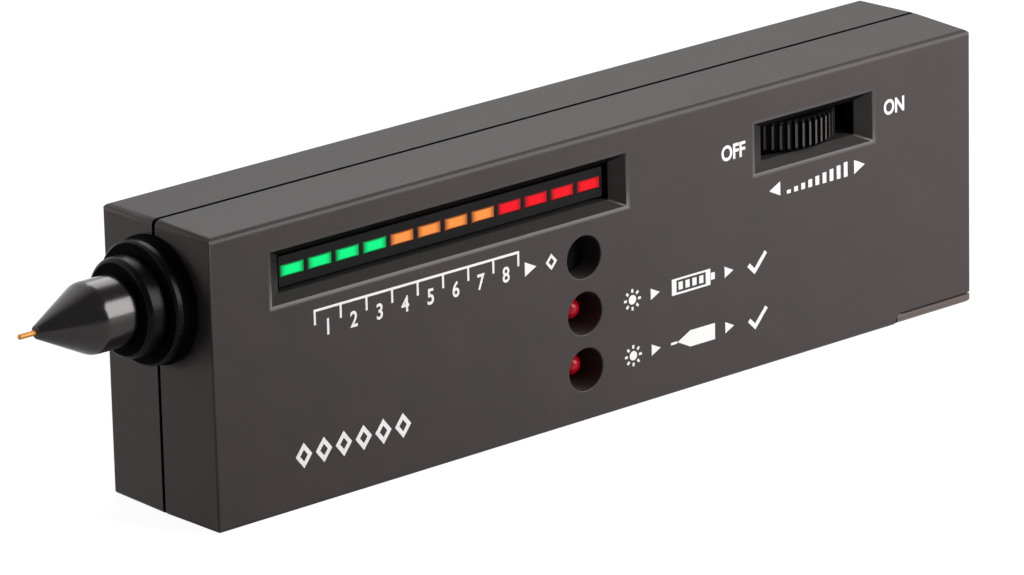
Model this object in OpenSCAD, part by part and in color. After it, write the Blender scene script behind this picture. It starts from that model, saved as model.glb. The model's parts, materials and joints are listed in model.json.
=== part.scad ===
// Pocket gem tester: a flat two-shell case with a sprung copper probe at one end, a twelve-segment
// light bar, two status lamps, a sound hole, a thumbwheel and a nine-volt battery behind a sliding cover.
// Millimetres. X runs from the probe (-X) to the tail, the front face looks to -Y and Z is up.
// The origin is the middle of the case's flat underside. The case is as long, as high and as thick as
// what it holds, so its three outer sizes are sums in the Hidden section.

/* [Case] */
// Wall of the two shells
wall = 2; // [1.6:0.1:2.6]
// Lean of the top and the ends, from the parting plane to each face
draft = 0.3; // [0:0.05:0.6]
// Radius of the edges around the top
edge_r = 0.9; // [0.4:0.1:1.2]
// Radius of the four upright edges
upright_r = 0.4; // [0.2:0.1:1]
// Radius of the edges of the underside
foot_r = 0.6; // [0.1:0.1:1]
// Width of the groove where the shells meet
seam_w = 0.5; // [0.1:0.05:0.8]
// Thickness of the rear shell's tongue
tongue_t = 0.8; // [0.5:0.1:1]
// Reach of the tongue into the front shell
tongue_h = 1.2; // [0.6:0.1:2.5]
// Room around the tongue
tongue_fit = 0.1; // [0.05:0.05:0.2]

/* [Light bar] */
// Number of light segments
bar_count = 12; // [6:1:14]
// Distance from one segment to the next
bar_pitch = 4.61; // [3.8:0.01:5.5]
// Space between two segments
bar_gap = 0.62; // [0.3:0.02:1]
// Height of a segment
segment_h = 1.6; // [1:0.1:2.2]
// Depth of a segment
segment_d = 2; // [1:0.1:3]
// Room around a segment in its pocket
segment_fit = 0.03; // [0.01:0.01:0.1]
// Holder beyond the first and the last segment
bar_end = 0.3; // [0.2:0.1:1]
// Height of the holder
bar_h = 4.1; // [3:0.1:5]
// Depth of the holder's face below the front face
bar_sink = 2; // [1.6:0.1:3]
// Middle of the bar below the board's top edge
bar_drop = 4.75; // [4:0.05:6]
// Gap between the holder and its window, lengthways
window_gap_x = 0.55; // [0.3:0.05:1]
// Gap between the holder and its window, upright
window_gap_z = 0.5; // [0.3:0.05:0.8]
// Spread of the window's sloped ends
window_slope_x = 2.45; // [1:0.05:3]
// Spread of the window's sloped long sides
window_slope_z = 1.35; // [0.8:0.05:1.6]

/* [Recesses] */
// Depth of the sloped recesses around the light bar and the wheel
recess_d = 1.5; // [0.8:0.1:1.8]
// Thickness of the pads that back the recesses
recess_pad = 1; // [0.5:0.1:1.2]
// Margin of a pad around its recess
pad_margin = 0.8; // [0.4:0.1:1.2]

/* [Lamps] */
// Diameter of the three round holes
hole_d = 5.9; // [4.5:0.1:6.4]
// Distance from one hole to the next
hole_pitch = 7.87; // [7.7:0.01:8.4]
// First hole below the middle of the light bar
hole_drop = 9.05; // [8.8:0.05:9.6]
// Holes back from the end of the light bar
hole_inset = 5.1; // [3:0.1:9]
// Wall of the tubes behind the holes
tube_wall = 0.7; // [0.5:0.05:0.9]
// Space between a tube and what it ends at
tube_gap = 0.3; // [0.2:0.05:0.6]
// Diameter of a lamp
lamp_d = 3; // [2:0.1:3.6]
// Height of a lamp above the board
lamp_h = 5.3; // [4.5:0.1:6.5]
// Width of a lamp's flange beyond its body
lamp_lip = 0.4; // [0.2:0.1:0.7]
// Thickness of a lamp's flange
lamp_lip_t = 1; // [0.6:0.1:1.4]
// Top of a lamp below the front face
lamp_sink = 2; // [1:0.1:3]
// Diameter of the buzzer
buzzer_d = 8; // [6:0.1:8.3]
// Height of the buzzer
buzzer_h = 3.5; // [2:0.1:4]
// Diameter of the buzzer's sound hole
buzzer_hole_d = 1.5; // [0.8:0.1:3]

/* [Circuit board] */
// Thickness of the circuit board
board_t = 1.6; // [0.8:0.1:2.4]
// Board beyond the light bar at the probe end
board_left = 2.5; // [1:0.1:6]
// Board beyond the light bar at the battery end
board_right = 7.7; // [7:0.1:12]
// Space between the board's edges and the floor and roof of the case
board_edge = 0.9; // [0.3:0.1:1.5]
// Diameter of the board's posts
post_d = 4.4; // [3.6:0.1:5]
// Posts in from the board's ends
post_inset = 3.6; // [2.6:0.1:4.5]
// Upper posts below the middle of the light bar
post_drop = 7.5; // [7.3:0.1:9]
// Lower posts above the board's bottom edge
post_rise = 2.6; // [2.4:0.1:5]

/* [Parts on the board] */
// Body height of the two chips
chip_h = 3.3; // [2:0.1:4.5]
// Body width of the two chips
chip_w = 6.4; // [4:0.1:7.4]
// Distance from one chip leg to the next
leg_pitch = 2.54; // [2:0.02:2.8]
// Thickness of the chip legs and the resistor wires
leg_t = 0.5; // [0.3:0.05:0.8]
// Legs on each side of the driver chip
driver_legs = 9; // [4:1:10]
// Legs on each side of the amplifier chip
amplifier_legs = 4; // [2:1:4]
// Middle of the chips above the board's bottom edge
chip_rise = 8.3; // [7:0.1:9]
// Diameter of a resistor
resistor_d = 2.2; // [1.4:0.1:3]
// Length of a resistor's body
resistor_l = 6.3; // [4:0.1:7.4]
// Distance from one resistor to the next
resistor_pitch = 4.2; // [3.4:0.1:5]
// Diameter of a capacitor
capacitor_d = 5; // [4:0.1:6]
// Height of a capacitor
capacitor_h = 7; // [4:0.1:8.5]
// Distance from one capacitor to the next
capacitor_pitch = 7; // [6.3:0.1:8]
// Side of the trimmer
trimmer_w = 6.6; // [4:0.1:7]
// Height of the trimmer
trimmer_h = 6; // [3:0.1:8]
// Diameter of the trimmer's screw
trimmer_screw_d = 3.3; // [2:0.1:3.5]

/* [Battery bay] */
// Length of the battery's body
battery_l = 46.4; // [40:0.1:52]
// Width of the battery, upright in the case
battery_w = 26.5; // [24:0.1:30]
// Thickness of the battery
battery_t = 17.5; // [16:0.1:20]
// Room on each side of the battery
battery_clear = 0.25; // [0.1:0.05:0.6]
// Radius of the battery's long edges
battery_r = 2.5; // [2.2:0.1:3.5]
// Distance between the battery's terminals
terminal_pitch = 12.7; // [11:0.1:14]
// Height of a terminal
terminal_h = 2.2; // [1.5:0.1:2.6]
// Diameter of the plug terminal
plug_terminal_d = 5.7; // [4.5:0.1:7]
// Diameter of the socket terminal
socket_terminal_d = 8; // [7:0.1:9]
// Thickness of the snap connector
snap_t = 3.25; // [3:0.05:5]
// Width of the snap connector
snap_w = 12; // [10.5:0.1:16]
// Length of the snap connector
snap_l = 24.6; // [23.5:0.1:25.5]
// Space between the snap connector and the battery
snap_gap = 0.15; // [0.05:0.05:0.3]
// Bay between the board and the snap connector
boss_bay = 6.1; // [5.8:0.1:9]
// Thickness of the foam pad behind the battery
pad_t = 0.9; // [0.5:0.1:2]
// Space between the battery and the foam pad
pad_gap = 0.1; // [0.05:0.05:0.4]
// Diameter of the battery's leads
lead_d = 1.2; // [0.8:0.1:1.6]

/* [Battery cover] */
// Length of the cover along the underside
cover_l = 14.2; // [10:0.1:22]
// Height of the cover's strip on the front face
strip_h = 1.3; // [1:0.1:1.6]
// Radius of the strip's inner corner
strip_r = 1; // [0.4:0.1:1]
// Thickness of the cover's end plate
cover_t = 1.8; // [1.2:0.1:3]
// Room around the cover and its rails
cover_gap = 0.12; // [0.08:0.02:0.25]
// Line of space along the cover's strip
strip_gap = 0.3; // [0.1:0.05:0.5]
// Depth below the faces of the rib that closes the strip's groove
rib_in = 0.5; // [0.3:0.1:0.8]
// Room above that rib
rib_fit = 0.06; // [0.04:0.02:0.1]
// Headroom of the battery's opening
opening_clear = 1; // [0.5:0.1:1.5]
// Reach of the cover's rails into the case walls
rail_reach = 0.5; // [0.3:0.1:0.8]
// Height of the rails
rail_h = 0.7; // [0.5:0.1:1]
// Rails above the floor of the case
rail_rise = 0.3; // [0.25:0.05:0.5]
// Width of a rail's web at the floor of the cover
rail_web = 1.2; // [0.8:0.1:1.6]
// Width of a rail's web at the top of the rail
rail_lip = 0.25; // [0.1:0.05:0.4]
// Number of grip grooves in the end plate
grip_count = 5; // [3:1:7]
// Distance from one grip groove to the next
grip_pitch = 2; // [1.4:0.1:3]
// Depth of the grip grooves
grip_d = 0.45; // [0.2:0.05:0.6]
// Length of the grip grooves
grip_l = 9; // [5:0.5:14]

/* [Thumbwheel] */
// Radius of the wheel
wheel_r = 9.25; // [8:0.05:11]
// Thickness of the wheel
wheel_t = 4.35; // [3:0.05:6]
// Number of ridges
ridge_count = 52; // [24:1:60]
// Depth of the grooves between ridges
ridge_d = 0.6; // [0.3:0.05:0.9]
// Width of a ridge at its top
ridge_top = 0.34; // [0.2:0.02:0.5]
// Width of a ridge at its foot
ridge_foot = 0.62; // [0.4:0.02:0.8]
// Chamfer at the ends of the ridges
wheel_chamfer = 0.5; // [0.2:0.05:0.8]
// Rim of the wheel below the front face
wheel_sink = 0.25; // [0:0.05:1]
// Wheel back from the battery's front end
wheel_inset = 19.7; // [18:0.1:22]
// Space between the wheel and the battery, and behind the wheel
wheel_gap = 0.5; // [0.3:0.05:1]
// Length of the wheel's opening
slot_l = 17.2; // [15:0.1:19]
// Space above and below the wheel in its opening
slot_clear = 0.2; // [0.15:0.05:0.4]
// Spread of the opening's sloped ends
slot_slope_x = 2.7; // [1:0.1:3]
// Spread of the opening's sloped long sides
slot_slope_z = 1.4; // [0.8:0.05:1.6]
// Diameter of the potentiometer
pot_d = 12.4; // [10:0.1:12.8]
// Thickness of the potentiometer
pot_t = 2.9; // [2.4:0.1:4]
// Space between the wheel and the potentiometer
pot_gap = 0.3; // [0.2:0.05:0.6]
// Diameter of the rotor's shaft
shaft_d = 4; // [3.4:0.1:5]
// Running clearance of the shaft, on the radius
shaft_fit = 0.05; // [0.02:0.01:0.1]
// Diameter of the rotor's flange
flange_d = 9; // [6:0.1:9.6]
// Thickness of the rotor's flange
flange_t = 0.8; // [0.4:0.1:1.1]
// Thickness of the potentiometer's board
pot_board_t = 1; // [0.8:0.1:1.6]
// Length of the potentiometer's board
pot_board_l = 23; // [20:0.1:24]
// Depth of the ledge that carries the back edge of that board
ledge_w = 1; // [0.5:0.1:1.5]
// Height of the ledge
ledge_h = 1.5; // [0.8:0.1:2.5]
// Space above the potentiometer's board
head_gap = 0.15; // [0.05:0.05:0.4]
// Diameter of the potentiometer's leads
pot_lead_d = 0.9; // [0.6:0.1:1]

/* [Probe] */
// Probe below the roof of the case
probe_drop = 8.3; // [7.8:0.1:9.5]
// Room for the probe's inner end
probe_bay = 8.2; // [7.8:0.1:12]
// Diameter of the collar's large ring
ring_d = 16.6; // [14:0.1:17]
// Width of the large ring
ring_w = 3; // [2:0.1:4]
// Diameter of the collar's small ring
step_d = 13.4; // [11:0.1:14]
// Width of the small ring
step_w = 3.1; // [2:0.1:4]
// Reach of the collar's thin brim beyond the large ring
brim_reach = 0.3; // [0.1:0.05:0.6]
// Thickness of the brim
brim_w = 0.9; // [0.5:0.1:1.1]
// Rounding of the rings
ring_round = 0.8; // [0.3:0.1:1]
// Diameter of the collar's neck in the case wall
neck_d = 11; // [9:0.1:12]
// Room around the neck and beside its flanges
neck_fit = 0.05; // [0.03:0.01:0.1]
// Diameter of the collar's inner flange
inner_flange_d = 14; // [12.5:0.1:14.4]
// Thickness of the inner flange
inner_flange_t = 1.5; // [1:0.1:2]
// Diameter of the nose
nose_d = 9.6; // [8.5:0.1:10.5]
// Length of the nose's straight part
nose_l = 5.4; // [3:0.1:8]
// Length of the nose's cone
cone_l = 7.8; // [5:0.1:11]
// Diameter of the cone's small end
cone_end_d = 1.7; // [1.5:0.1:2.4]
// Rounding where the cone meets the straight part
nose_round = 1.2; // [0.4:0.1:2]
// Diameter of the nose's spigot in the collar
spigot_d = 7.1; // [6:0.1:7.6]
// Diameter of the nose's bore
bore_d = 3; // [2.4:0.1:3.6]
// Length of the fine hole at the cone's end
fine_l = 2.8; // [2:0.1:4]
// Diameter of the copper tip
tip_d = 0.7; // [0.5:0.05:1]
// Reach of the tip beyond the cone
tip_l = 2.7; // [2:0.1:4.5]
// Running clearance of the tip, on the radius
tip_fit = 0.05; // [0.03:0.01:0.1]
// Length of the tip's shoulder in the bore
shoulder_l = 1.5; // [1:0.1:2.5]
// Length of the tip's tail behind the shoulder
tail_l = 5.4; // [3:0.1:6.5]
// Diameter of the tip's tail
tail_d = 0.8; // [0.6:0.05:1]
// Length of the heater bead on the tail
bead_l = 2; // [1:0.1:2.6]
// Diameter of the heater bead
bead_d = 1.5; // [1.2:0.05:1.6]
// Wire of the tip's spring
spring_wire = 0.3; // [0.2:0.02:0.4]
// Coils of the tip's spring
spring_turns = 7; // [4:1:9]
// Travel of the tip into the nose
tip_travel = 1.2; // [0.6:0.1:1.5]
// Thickness of the nut on the spigot
nut_t = 1.6; // [1:0.1:1.8]
// Diameter of the nut
nut_d = 11; // [9:0.1:13]
// Thickness of the rear plug's cap
plug_t = 1.2; // [0.8:0.1:1.6]
// Diameter of the probe's leads
probe_lead_d = 0.8; // [0.5:0.1:1]

/* [Fasteners] */
// Diameter of the bosses that join the shells
boss_d = 5.2; // [5:0.1:5.4]
// Lower bosses above the floor
boss_rise = 4.5; // [3:0.1:6]
// Bosses in from the inner ends of the case
boss_inset = 4.4; // [3.2:0.1:4.6]
// Shank of the case screws
case_screw_d = 1.9; // [1.5:0.1:2.2]
// Length of the case screws' shanks
case_screw_l = 12.5; // [10:0.5:13.5]
// Head of the case screws
case_head_d = 3.8; // [3.2:0.1:4]
// Height of every screw head
head_h = 1.4; // [0.8:0.1:1.8]
// Depth of the counterbores in the rear shell
counterbore_d = 5; // [3:0.5:6]
// Shank of the board screws
board_screw_d = 1.6; // [1.2:0.1:2]
// Length of the board screws' shanks
board_screw_l = 5.5; // [4:0.1:6.2]
// Head of the board screws
board_head_d = 3.4; // [2.8:0.1:4]
// Shank of the wheel's screw
wheel_screw_d = 1.8; // [1.4:0.1:2]
// Room around every screw, on the radius
screw_fit = 0.06; // [0.03:0.01:0.15]
// Width of the cross slots in the heads
slot_w = 0.5; // [0.3:0.05:0.7]

/* [Hidden] */
$fn = 48;
// How far a cut runs past the face that it opens
past = 1;
// How far a hole runs on beyond the end of its screw
blind = 0.5;
// How deep a pad, tube, post or boss is rooted in its wall
sink = wall / 4;
// Bend of a lead and its distance from the next, in lead diameters
lead_bend = 1.5;
lead_step = 2;
// Rings of the spring's wire in one coil
spring_steps = 10;

// Lengths along X
bar_l = bar_count * bar_pitch - bar_gap + 2 * bar_end;
board_l = board_left + bar_l + board_right;
bay_l = boss_bay + snap_t + snap_gap + battery_l + pad_gap + pad_t + cover_t;
case_l = draft + wall + probe_bay + board_l + bay_l + draft;
x0 = -case_l / 2;
x1 = case_l / 2;
in_x0 = x0 + draft + wall;
in_x1 = x1 - draft - wall;
board_x0 = in_x0 + probe_bay;
bar_x0 = board_x0 + board_left;
bar_x1 = bar_x0 + bar_l;
board_x1 = bar_x1 + board_right;
snap_x0 = board_x1 + boss_bay;
battery_x0 = snap_x0 + snap_t + snap_gap;
battery_x1 = battery_x0 + battery_l;
pad_x0 = battery_x1 + pad_gap;
plate_x0 = pad_x0 + pad_t;
plate_x1 = plate_x0 + cover_t;
cover_x0 = plate_x1 - cover_l;
wheel_x = battery_x0 + wheel_inset;
bar_x = (bar_x0 + bar_x1) / 2;
hole_x = bar_x1 - hole_inset;
bay_x = board_x1 + boss_bay / 2;
segment_l = bar_pitch - bar_gap;
window_l = bar_l + 2 * window_gap_x;
driver_x = bar_x;
amplifier_x = driver_x - (driver_legs + amplifier_legs) * leg_pitch / 2 - leg_pitch;
capacitor_x = bar_x1 - capacitor_d - leg_pitch;

// Depths along Y
bay_t = battery_t + 2 * battery_clear;
wheel_bay_t = 2 * wheel_r + wheel_sink + wheel_gap - wall;
cavity_t = max(bay_t, wheel_bay_t);
case_t = cavity_t + 2 * wall;
face_y = -case_t / 2;
in_y = cavity_t / 2;
board_y = face_y + lamp_sink + lamp_h;
board_back = board_y + board_t;
bar_y = face_y + bar_sink;
wheel_y = face_y + wheel_sink + wheel_r;
pad_y = -in_y + recess_pad;

// Heights along Z
battery_z1 = wall + battery_w;
battery_z = wall + battery_w / 2;
wheel_z0 = battery_z1 + wheel_gap;
wheel_z1 = wheel_z0 + wheel_t;
wheel_z = (wheel_z0 + wheel_z1) / 2;
pot_z0 = wheel_z1 + pot_gap;
pot_z1 = pot_z0 + pot_t;
pot_board_z1 = pot_z1 + pot_board_t;
in_z1 = pot_board_z1 + head_gap;
case_h = in_z1 + wall + draft;
board_z0 = wall + board_edge;
board_z1 = in_z1 - board_edge;
bar_z = board_z1 - bar_drop;
hole_zs = [for (k = [0:2]) bar_z - hole_drop - k * hole_pitch];
probe_z = in_z1 - probe_drop;
opening_z1 = battery_z1 + opening_clear;
boss_z0 = wall + boss_rise;
boss_z1 = (opening_z1 + in_z1) / 2;
window_h = bar_h + 2 * window_gap_z;
slot_h = wheel_t + 2 * slot_clear;
rail_z0 = wall + rail_rise;
rail_z1 = rail_z0 + rail_h;
chip_z = board_z0 + chip_rise;
resistor_z = chip_z + chip_w / 2 + leg_t + resistor_l;
resistor_foot = resistor_l / 2 + resistor_d / 2;
terminal_zs = [battery_z + terminal_pitch / 2, battery_z - terminal_pitch / 2];
terminal_ds = [plug_terminal_d, socket_terminal_d];

// Places of the fasteners, as x and z
bosses = [[in_x0 + boss_inset, boss_z0], [bay_x, boss_z0],
    [bay_x, boss_z1], [in_x1 - boss_inset, boss_z1]];
post_xs = [board_x0 + post_inset, board_x1 - post_inset];
post_zs = [board_z0 + post_rise, bar_z - post_drop];
posts = [for (x = post_xs) for (z = post_zs) [x, z]];
counterbore_y = -face_y - counterbore_d;
trimmer_x = post_xs[0] + post_d;

// Lengths along the probe's axis
ring_x0 = x0 - neck_fit - ring_w;
brim_x0 = x0 - neck_fit - brim_w;
step_x0 = ring_x0 - step_w;
cone_x1 = step_x0 - nose_l;
cone_x0 = cone_x1 - cone_l;
bore_x0 = cone_x0 + fine_l;
tip_x0 = cone_x0 - tip_l;
shoulder_x0 = bore_x0 + tip_fit;
shoulder_x1 = shoulder_x0 + shoulder_l;
tail_x1 = shoulder_x1 + tail_l;
collar_x1 = in_x0 + neck_fit + inner_flange_t;
nut_x0 = collar_x1 + neck_fit;
spigot_x1 = nut_x0 + nut_t;
plug_x0 = tail_x1 + tip_travel + 2 * spring_wire;
plug_x1 = spigot_x1 + plug_t;
spring_r = bore_d / 2 - tip_fit - spring_wire;

// Sizes of the wheel's drive
hub_z0 = wheel_z0 + head_h + slot_clear;
flange_z0 = pot_z1 - flange_t - 2 * shaft_fit - flange_t;
flange_room = 3 * shaft_fit;
wheel_screw_l = pot_z0 - hub_z0;
wheel_head_d = 2 * wheel_screw_d;

segment_names = [for (i = [1:bar_count]) str("bar_segment_", i)];
resistor_count = 6;
resistor_names = [for (i = [1:resistor_count]) str("resistor_", i)];
capacitor_count = 3;
capacitor_names = [for (i = [1:capacitor_count]) str("capacitor_", i)];
pot_lead_count = 3;
pot_lead_names = [for (i = [1:pot_lead_count]) str("pot_lead_", i)];
case_nodes = ["front_shell", "rear_shell", "case_screws", "battery_cover", "battery_pad"];
board_nodes = ["circuit_board", "board_screws", "bar_holder", "battery_lamp", "ready_lamp", "buzzer"];
chip_nodes = ["driver_chip", "amplifier_chip", "trimmer", "trimmer_screw"];
wheel_nodes = ["volume_wheel", "wheel_screw", "pot_rotor", "pot_base", "pot_board"];
power_nodes = ["battery", "battery_terminals", "battery_snap", "red_lead", "black_lead"];
probe_nodes = ["probe_collar", "probe_nose", "probe_nut", "probe_plug", "probe_tip", "heater_bead"];
lead_nodes = ["tip_spring", "probe_lead_1", "probe_lead_2"];

// Colours
case_grey = "#4c4948";
gloss_black = "#151414";
holder_grey = "#2e2c2c";
bar_colours = ["#18e070", "#ff8a3c", "#ff2030"];
lamp_red = "#e01030";
copper = "#d08a45";
steel = "#b4b6b8";
board_green = "#1d6b3c";
chip_black = "#202124";

// Hole that a screw bites into, and hole that it passes through
function bite(d) = d + 2 * screw_fit;
function pass(d) = d + 4 * screw_fit;

// Left end of segment i, counted from 1 at the probe end
function segment_x(i) = bar_x0 + bar_end + (i - 1) * bar_pitch;

function unit(v) = v / norm(v);

// Arc points that round one corner of an outline or a path
function corner(a, p, b, r, steps = 5) =
    let (u = unit(a - p), v = unit(b - p), half = acos(u * v) / 2)
    let (turn = 180 - 2 * half, c = p + unit(u + v) * r / sin(half))
    let (s = p + u * r / tan(half) - c, e = p + v * r / tan(half) - c)
    [for (k = [0:steps]) c + (sin((1 - k / steps) * turn) * s + sin(k / steps * turn) * e) / sin(turn)];

// Closed outline with a radius at each corner, where 0 leaves it sharp
function rounded(pts, radii) =
    let (n = len(pts))
    [for (i = [0:n - 1])
        each radii[i] > 0 ? corner(pts[(i + n - 1) % n], pts[i], pts[(i + 1) % n], radii[i]) : [pts[i]]];

// Open path whose inner corners are rounded
function route(pts, r) =
    let (n = len(pts))
    [for (i = [0:n - 1])
        each (i == 0 || i == n - 1) ? [pts[i]] : corner(pts[i - 1], pts[i], pts[i + 1], r)];

// Profiles drawn as (y, z), (x, z) and (x, y), and run along the third axis
module along_x(a, b) {
    translate([a, 0, 0])
        rotate([90, 0, 90])
            linear_extrude(b - a) children();
}

module along_y(a, b) {
    translate([0, b, 0])
        rotate([90, 0, 0])
            linear_extrude(b - a) children();
}

module along_z(a, b) {
    translate([0, 0, a])
        linear_extrude(b - a) children();
}

module box(a, b) {
    translate(a) cube(b - a);
}

module pin_x(a, b, y, z, d) {
    translate([a, y, z])
        rotate([0, 90, 0])
            cylinder(h = b - a, d = d);
}

module pin_y(x, z, a, b, d) {
    translate([x, b, z])
        rotate([90, 0, 0])
            cylinder(h = b - a, d = d);
}

// Solid turned about the probe's axis from points of (radius, x)
module turned(pts) {
    translate([0, 0, probe_z])
        rotate([0, 90, 0])
            rotate_extrude() polygon(pts);
}

// Round wire along a path, with ref never parallel to it
module wire(path, d, ref = [1, 1, 1], sides = 8) {
    n = len(path);
    ahead = [for (i = [0:n - 1]) unit(path[min(i + 1, n - 1)] - path[max(i - 1, 0)])];
    rings = [for (i = [0:n - 1])
        let (u = unit(cross(ahead[i], ref)), v = cross(ahead[i], u))
        for (k = [0:sides - 1]) path[i] + (cos(k * 360 / sides) * u + sin(k * 360 / sides) * v) * d / 2];
    skin = [for (i = [0:n - 2]) for (k = [0:sides - 1])
        let (a = i * sides + k, b = i * sides + (k + 1) % sides)
        each [[a, a + sides, b + sides], [a, b + sides, b]]];
    first = [for (k = [1:sides - 2]) [0, k, k + 1]];
    last = [for (k = [1:sides - 2]) [(n - 1) * sides, (n - 1) * sides + k + 1, (n - 1) * sides + k]];
    polyhedron(points = rings, faces = concat(skin, first, last));
}

// Head with a cross slot, seated at y = 0 and facing +Y, with its shank towards -Y
module screw(head_d, shank_d, shank_l) {
    arm = head_d / 3;
    depth = head_h / 2;
    difference() {
        union() {
            pin_y(0, 0, 0, head_h, head_d);
            pin_y(0, 0, -shank_l, slot_w, shank_d);
        }
        box([-arm, head_h - depth, -slot_w / 2], [arm, head_h + past, slot_w / 2]);
        box([-slot_w / 2, head_h - depth, -arm], [slot_w / 2, head_h + past, arm]);
    }
}

// What rounding by r takes off a square edge at the origin, with its inside towards -X and -Y
function sliver(r) =
    concat([[-r, past], [past, past], [past, -r]], corner([0, -1], [0, 0], [-1, 0], r));

// What rounding takes off the edges of the two leaning ends, by b at the underside
module end_edges(b) {
    lean = atan(draft / -face_y);
    for (m = [0, 1])
        for (n = [0, 1])
            mirror([m, 0, 0])
                mirror([0, n, 0]) {
                    translate([x1, 0, case_h])
                        rotate([lean, 0, -lean])
                            along_y(face_y - past, past) polygon(sliver(edge_r));
                    translate([x1, 0, 0])
                        rotate([0, 0, -lean])
                            mirror([0, 0, 1])
                                along_y(face_y - past, past) polygon(sliver(b));
                }
}

// Outer form of the closed case: flat underside with edges of radius b, leaning top and ends, rounded edges
module case_form(b = foot_r) {
    r = edge_r;
    u = upright_r;
    section = [[face_y, 0], [-face_y, 0], [-face_y, case_h - draft], [0, case_h], [face_y, case_h - draft]];
    plan = [[x0 + draft, face_y], [x1 - draft, face_y], [x1, 0],
        [x1 - draft, -face_y], [x0 + draft, -face_y], [x0, 0]];
    difference() {
        intersection() {
            along_x(x0 - past, x1 + past) polygon(rounded(section, [b, b, r, 0, r]));
            along_z(-past, case_h + past) polygon(rounded(plan, [u, u, 0, u, u, 0]));
        }
        end_edges(b);
    }
}

// Hollow of the case, grown sideways by g, from depth a to depth b
module hollow(a, b, g = 0) {
    box([in_x0 - g, a, wall - g], [in_x1 + g, b, in_z1 + g]);
}

// Sloped recess in the front face, l by h at its floor
module recess(x, z, l, h, slope_x, slope_z) {
    lift = past / recess_d;
    y0 = face_y - past;
    y1 = face_y + recess_d;
    out_x = l / 2 + slope_x * (1 + lift);
    out_z = h / 2 + slope_z * (1 + lift);
    intersection() {
        along_z(z - out_z, z + out_z)
            polygon([[x - out_x, y0], [x + out_x, y0], [x + l / 2, y1], [x - l / 2, y1]]);
        along_x(x - out_x, x + out_x)
            polygon([[y0, z - out_z], [y0, z + out_z], [y1, z + h / 2], [y1, z - h / 2]]);
    }
    box([x - l / 2, y1 - past / 2, z - h / 2], [x + l / 2, pad_y + past, z + h / 2]);
}

module window_recess() {
    recess(bar_x, bar_z, window_l, window_h, window_slope_x, window_slope_z);
}

module wheel_recess() {
    recess(wheel_x, wheel_z, slot_l, slot_h, slot_slope_x, slot_slope_z);
}

// Pads that back the two recesses inside the front wall
module recess_pads() {
    window_x = window_l / 2 + window_slope_x + pad_margin;
    window_z = window_h / 2 + window_slope_z + pad_margin;
    slot_x = slot_l / 2 + slot_slope_x + pad_margin;
    window_top = min(bar_z + window_z, in_z1);
    box([bar_x - window_x, -in_y - sink, bar_z - window_z], [bar_x + window_x, pad_y, window_top]);
    box([wheel_x - slot_x, -in_y - sink, battery_z1 + slot_clear], [wheel_x + slot_x, pad_y, pot_z1]);
}

// Tubes that shade the lamps and lead to the buzzer, opened by the holes
module hole_tubes() {
    ends = [board_y - buzzer_h, board_y, board_y];
    for (k = [0:2])
        pin_y(hole_x, hole_zs[k], -in_y - sink, ends[k] - tube_gap, hole_d + 2 * tube_wall);
}

module holes() {
    for (z = hole_zs)
        pin_y(hole_x, z, face_y - past, board_y, hole_d);
}

// Hole for the collar's neck, half in each shell
module neck_hole() {
    pin_x(x0 - past, in_x0 + past, 0, probe_z, neck_d + 2 * neck_fit);
}

// Room that the shells leave for the cover, its rails and the battery's way out
module cover_room() {
    g = cover_gap;
    s = strip_gap;
    side = in_y + rail_reach + g;
    strip = [[cover_x0 - s, -past], [x1 + past, -past],
        [x1 + past, strip_h + s], [cover_x0 - s, strip_h + s]];
    along_y(face_y - past, past - face_y) polygon(rounded(strip, [0, 0, 0, strip_r + s]));
    box([cover_x0 - g, -in_y, -past], [x1 + past, in_y, wall + past / 2]);
    box([in_x1 - past, -in_y, -past], [x1 + past, in_y, opening_z1]);
    box([cover_x0 - g, -side, rail_z0 - g], [x1 + past, side, rail_z1 + g]);
}

module front_shell() {
    color(case_grey)
        difference() {
            union() {
                difference() {
                    case_form();
                    box([x0 - past, -seam_w / 2, -past], [x1 + past, past - face_y, case_h + past]);
                    hollow(-in_y, past);
                    hollow(-tongue_h - tongue_fit, past, tongue_t + tongue_fit);
                }
                recess_pads();
                hole_tubes();
                for (p = posts)
                    pin_y(p.x, p.y, -in_y - sink, board_y, post_d);
                for (p = bosses)
                    pin_y(p.x, p.y, -in_y - sink, 0, boss_d);
            }
            window_recess();
            wheel_recess();
            holes();
            for (p = posts)
                pin_y(p.x, p.y, board_back - board_screw_l - blind, board_y + past, bite(board_screw_d));
            for (p = bosses)
                pin_y(p.x, p.y, counterbore_y - case_screw_l - blind, past, bite(case_screw_d));
            neck_hole();
            cover_room();
        }
}

module rear_shell() {
    color(case_grey)
        difference() {
            union() {
                difference() {
                    case_form();
                    box([x0 - past, face_y - past, -past], [x1 + past, seam_w / 2, case_h + past]);
                    hollow(-past, in_y);
                }
                difference() {
                    hollow(-tongue_h, wall / 2, tongue_t);
                    hollow(-tongue_h - past, wall);
                }
                for (p = bosses)
                    pin_y(p.x, p.y, 0, in_y + sink, boss_d);
                box([wheel_x - pot_board_l / 2, in_y - ledge_w, pot_z1 - ledge_h],
                    [wheel_x + pot_board_l / 2, in_y + sink, pot_z1]);
            }
            for (p = bosses) {
                pin_y(p.x, p.y, -past, counterbore_y + past, pass(case_screw_d));
                pin_y(p.x, p.y, counterbore_y, past - face_y, pass(case_head_d));
            }
            neck_hole();
            cover_room();
        }
}

module case_screws() {
    color(steel)
        for (p = bosses)
            translate([p.x, counterbore_y, p.y]) screw(case_head_d, case_screw_d, case_screw_l);
}

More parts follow.
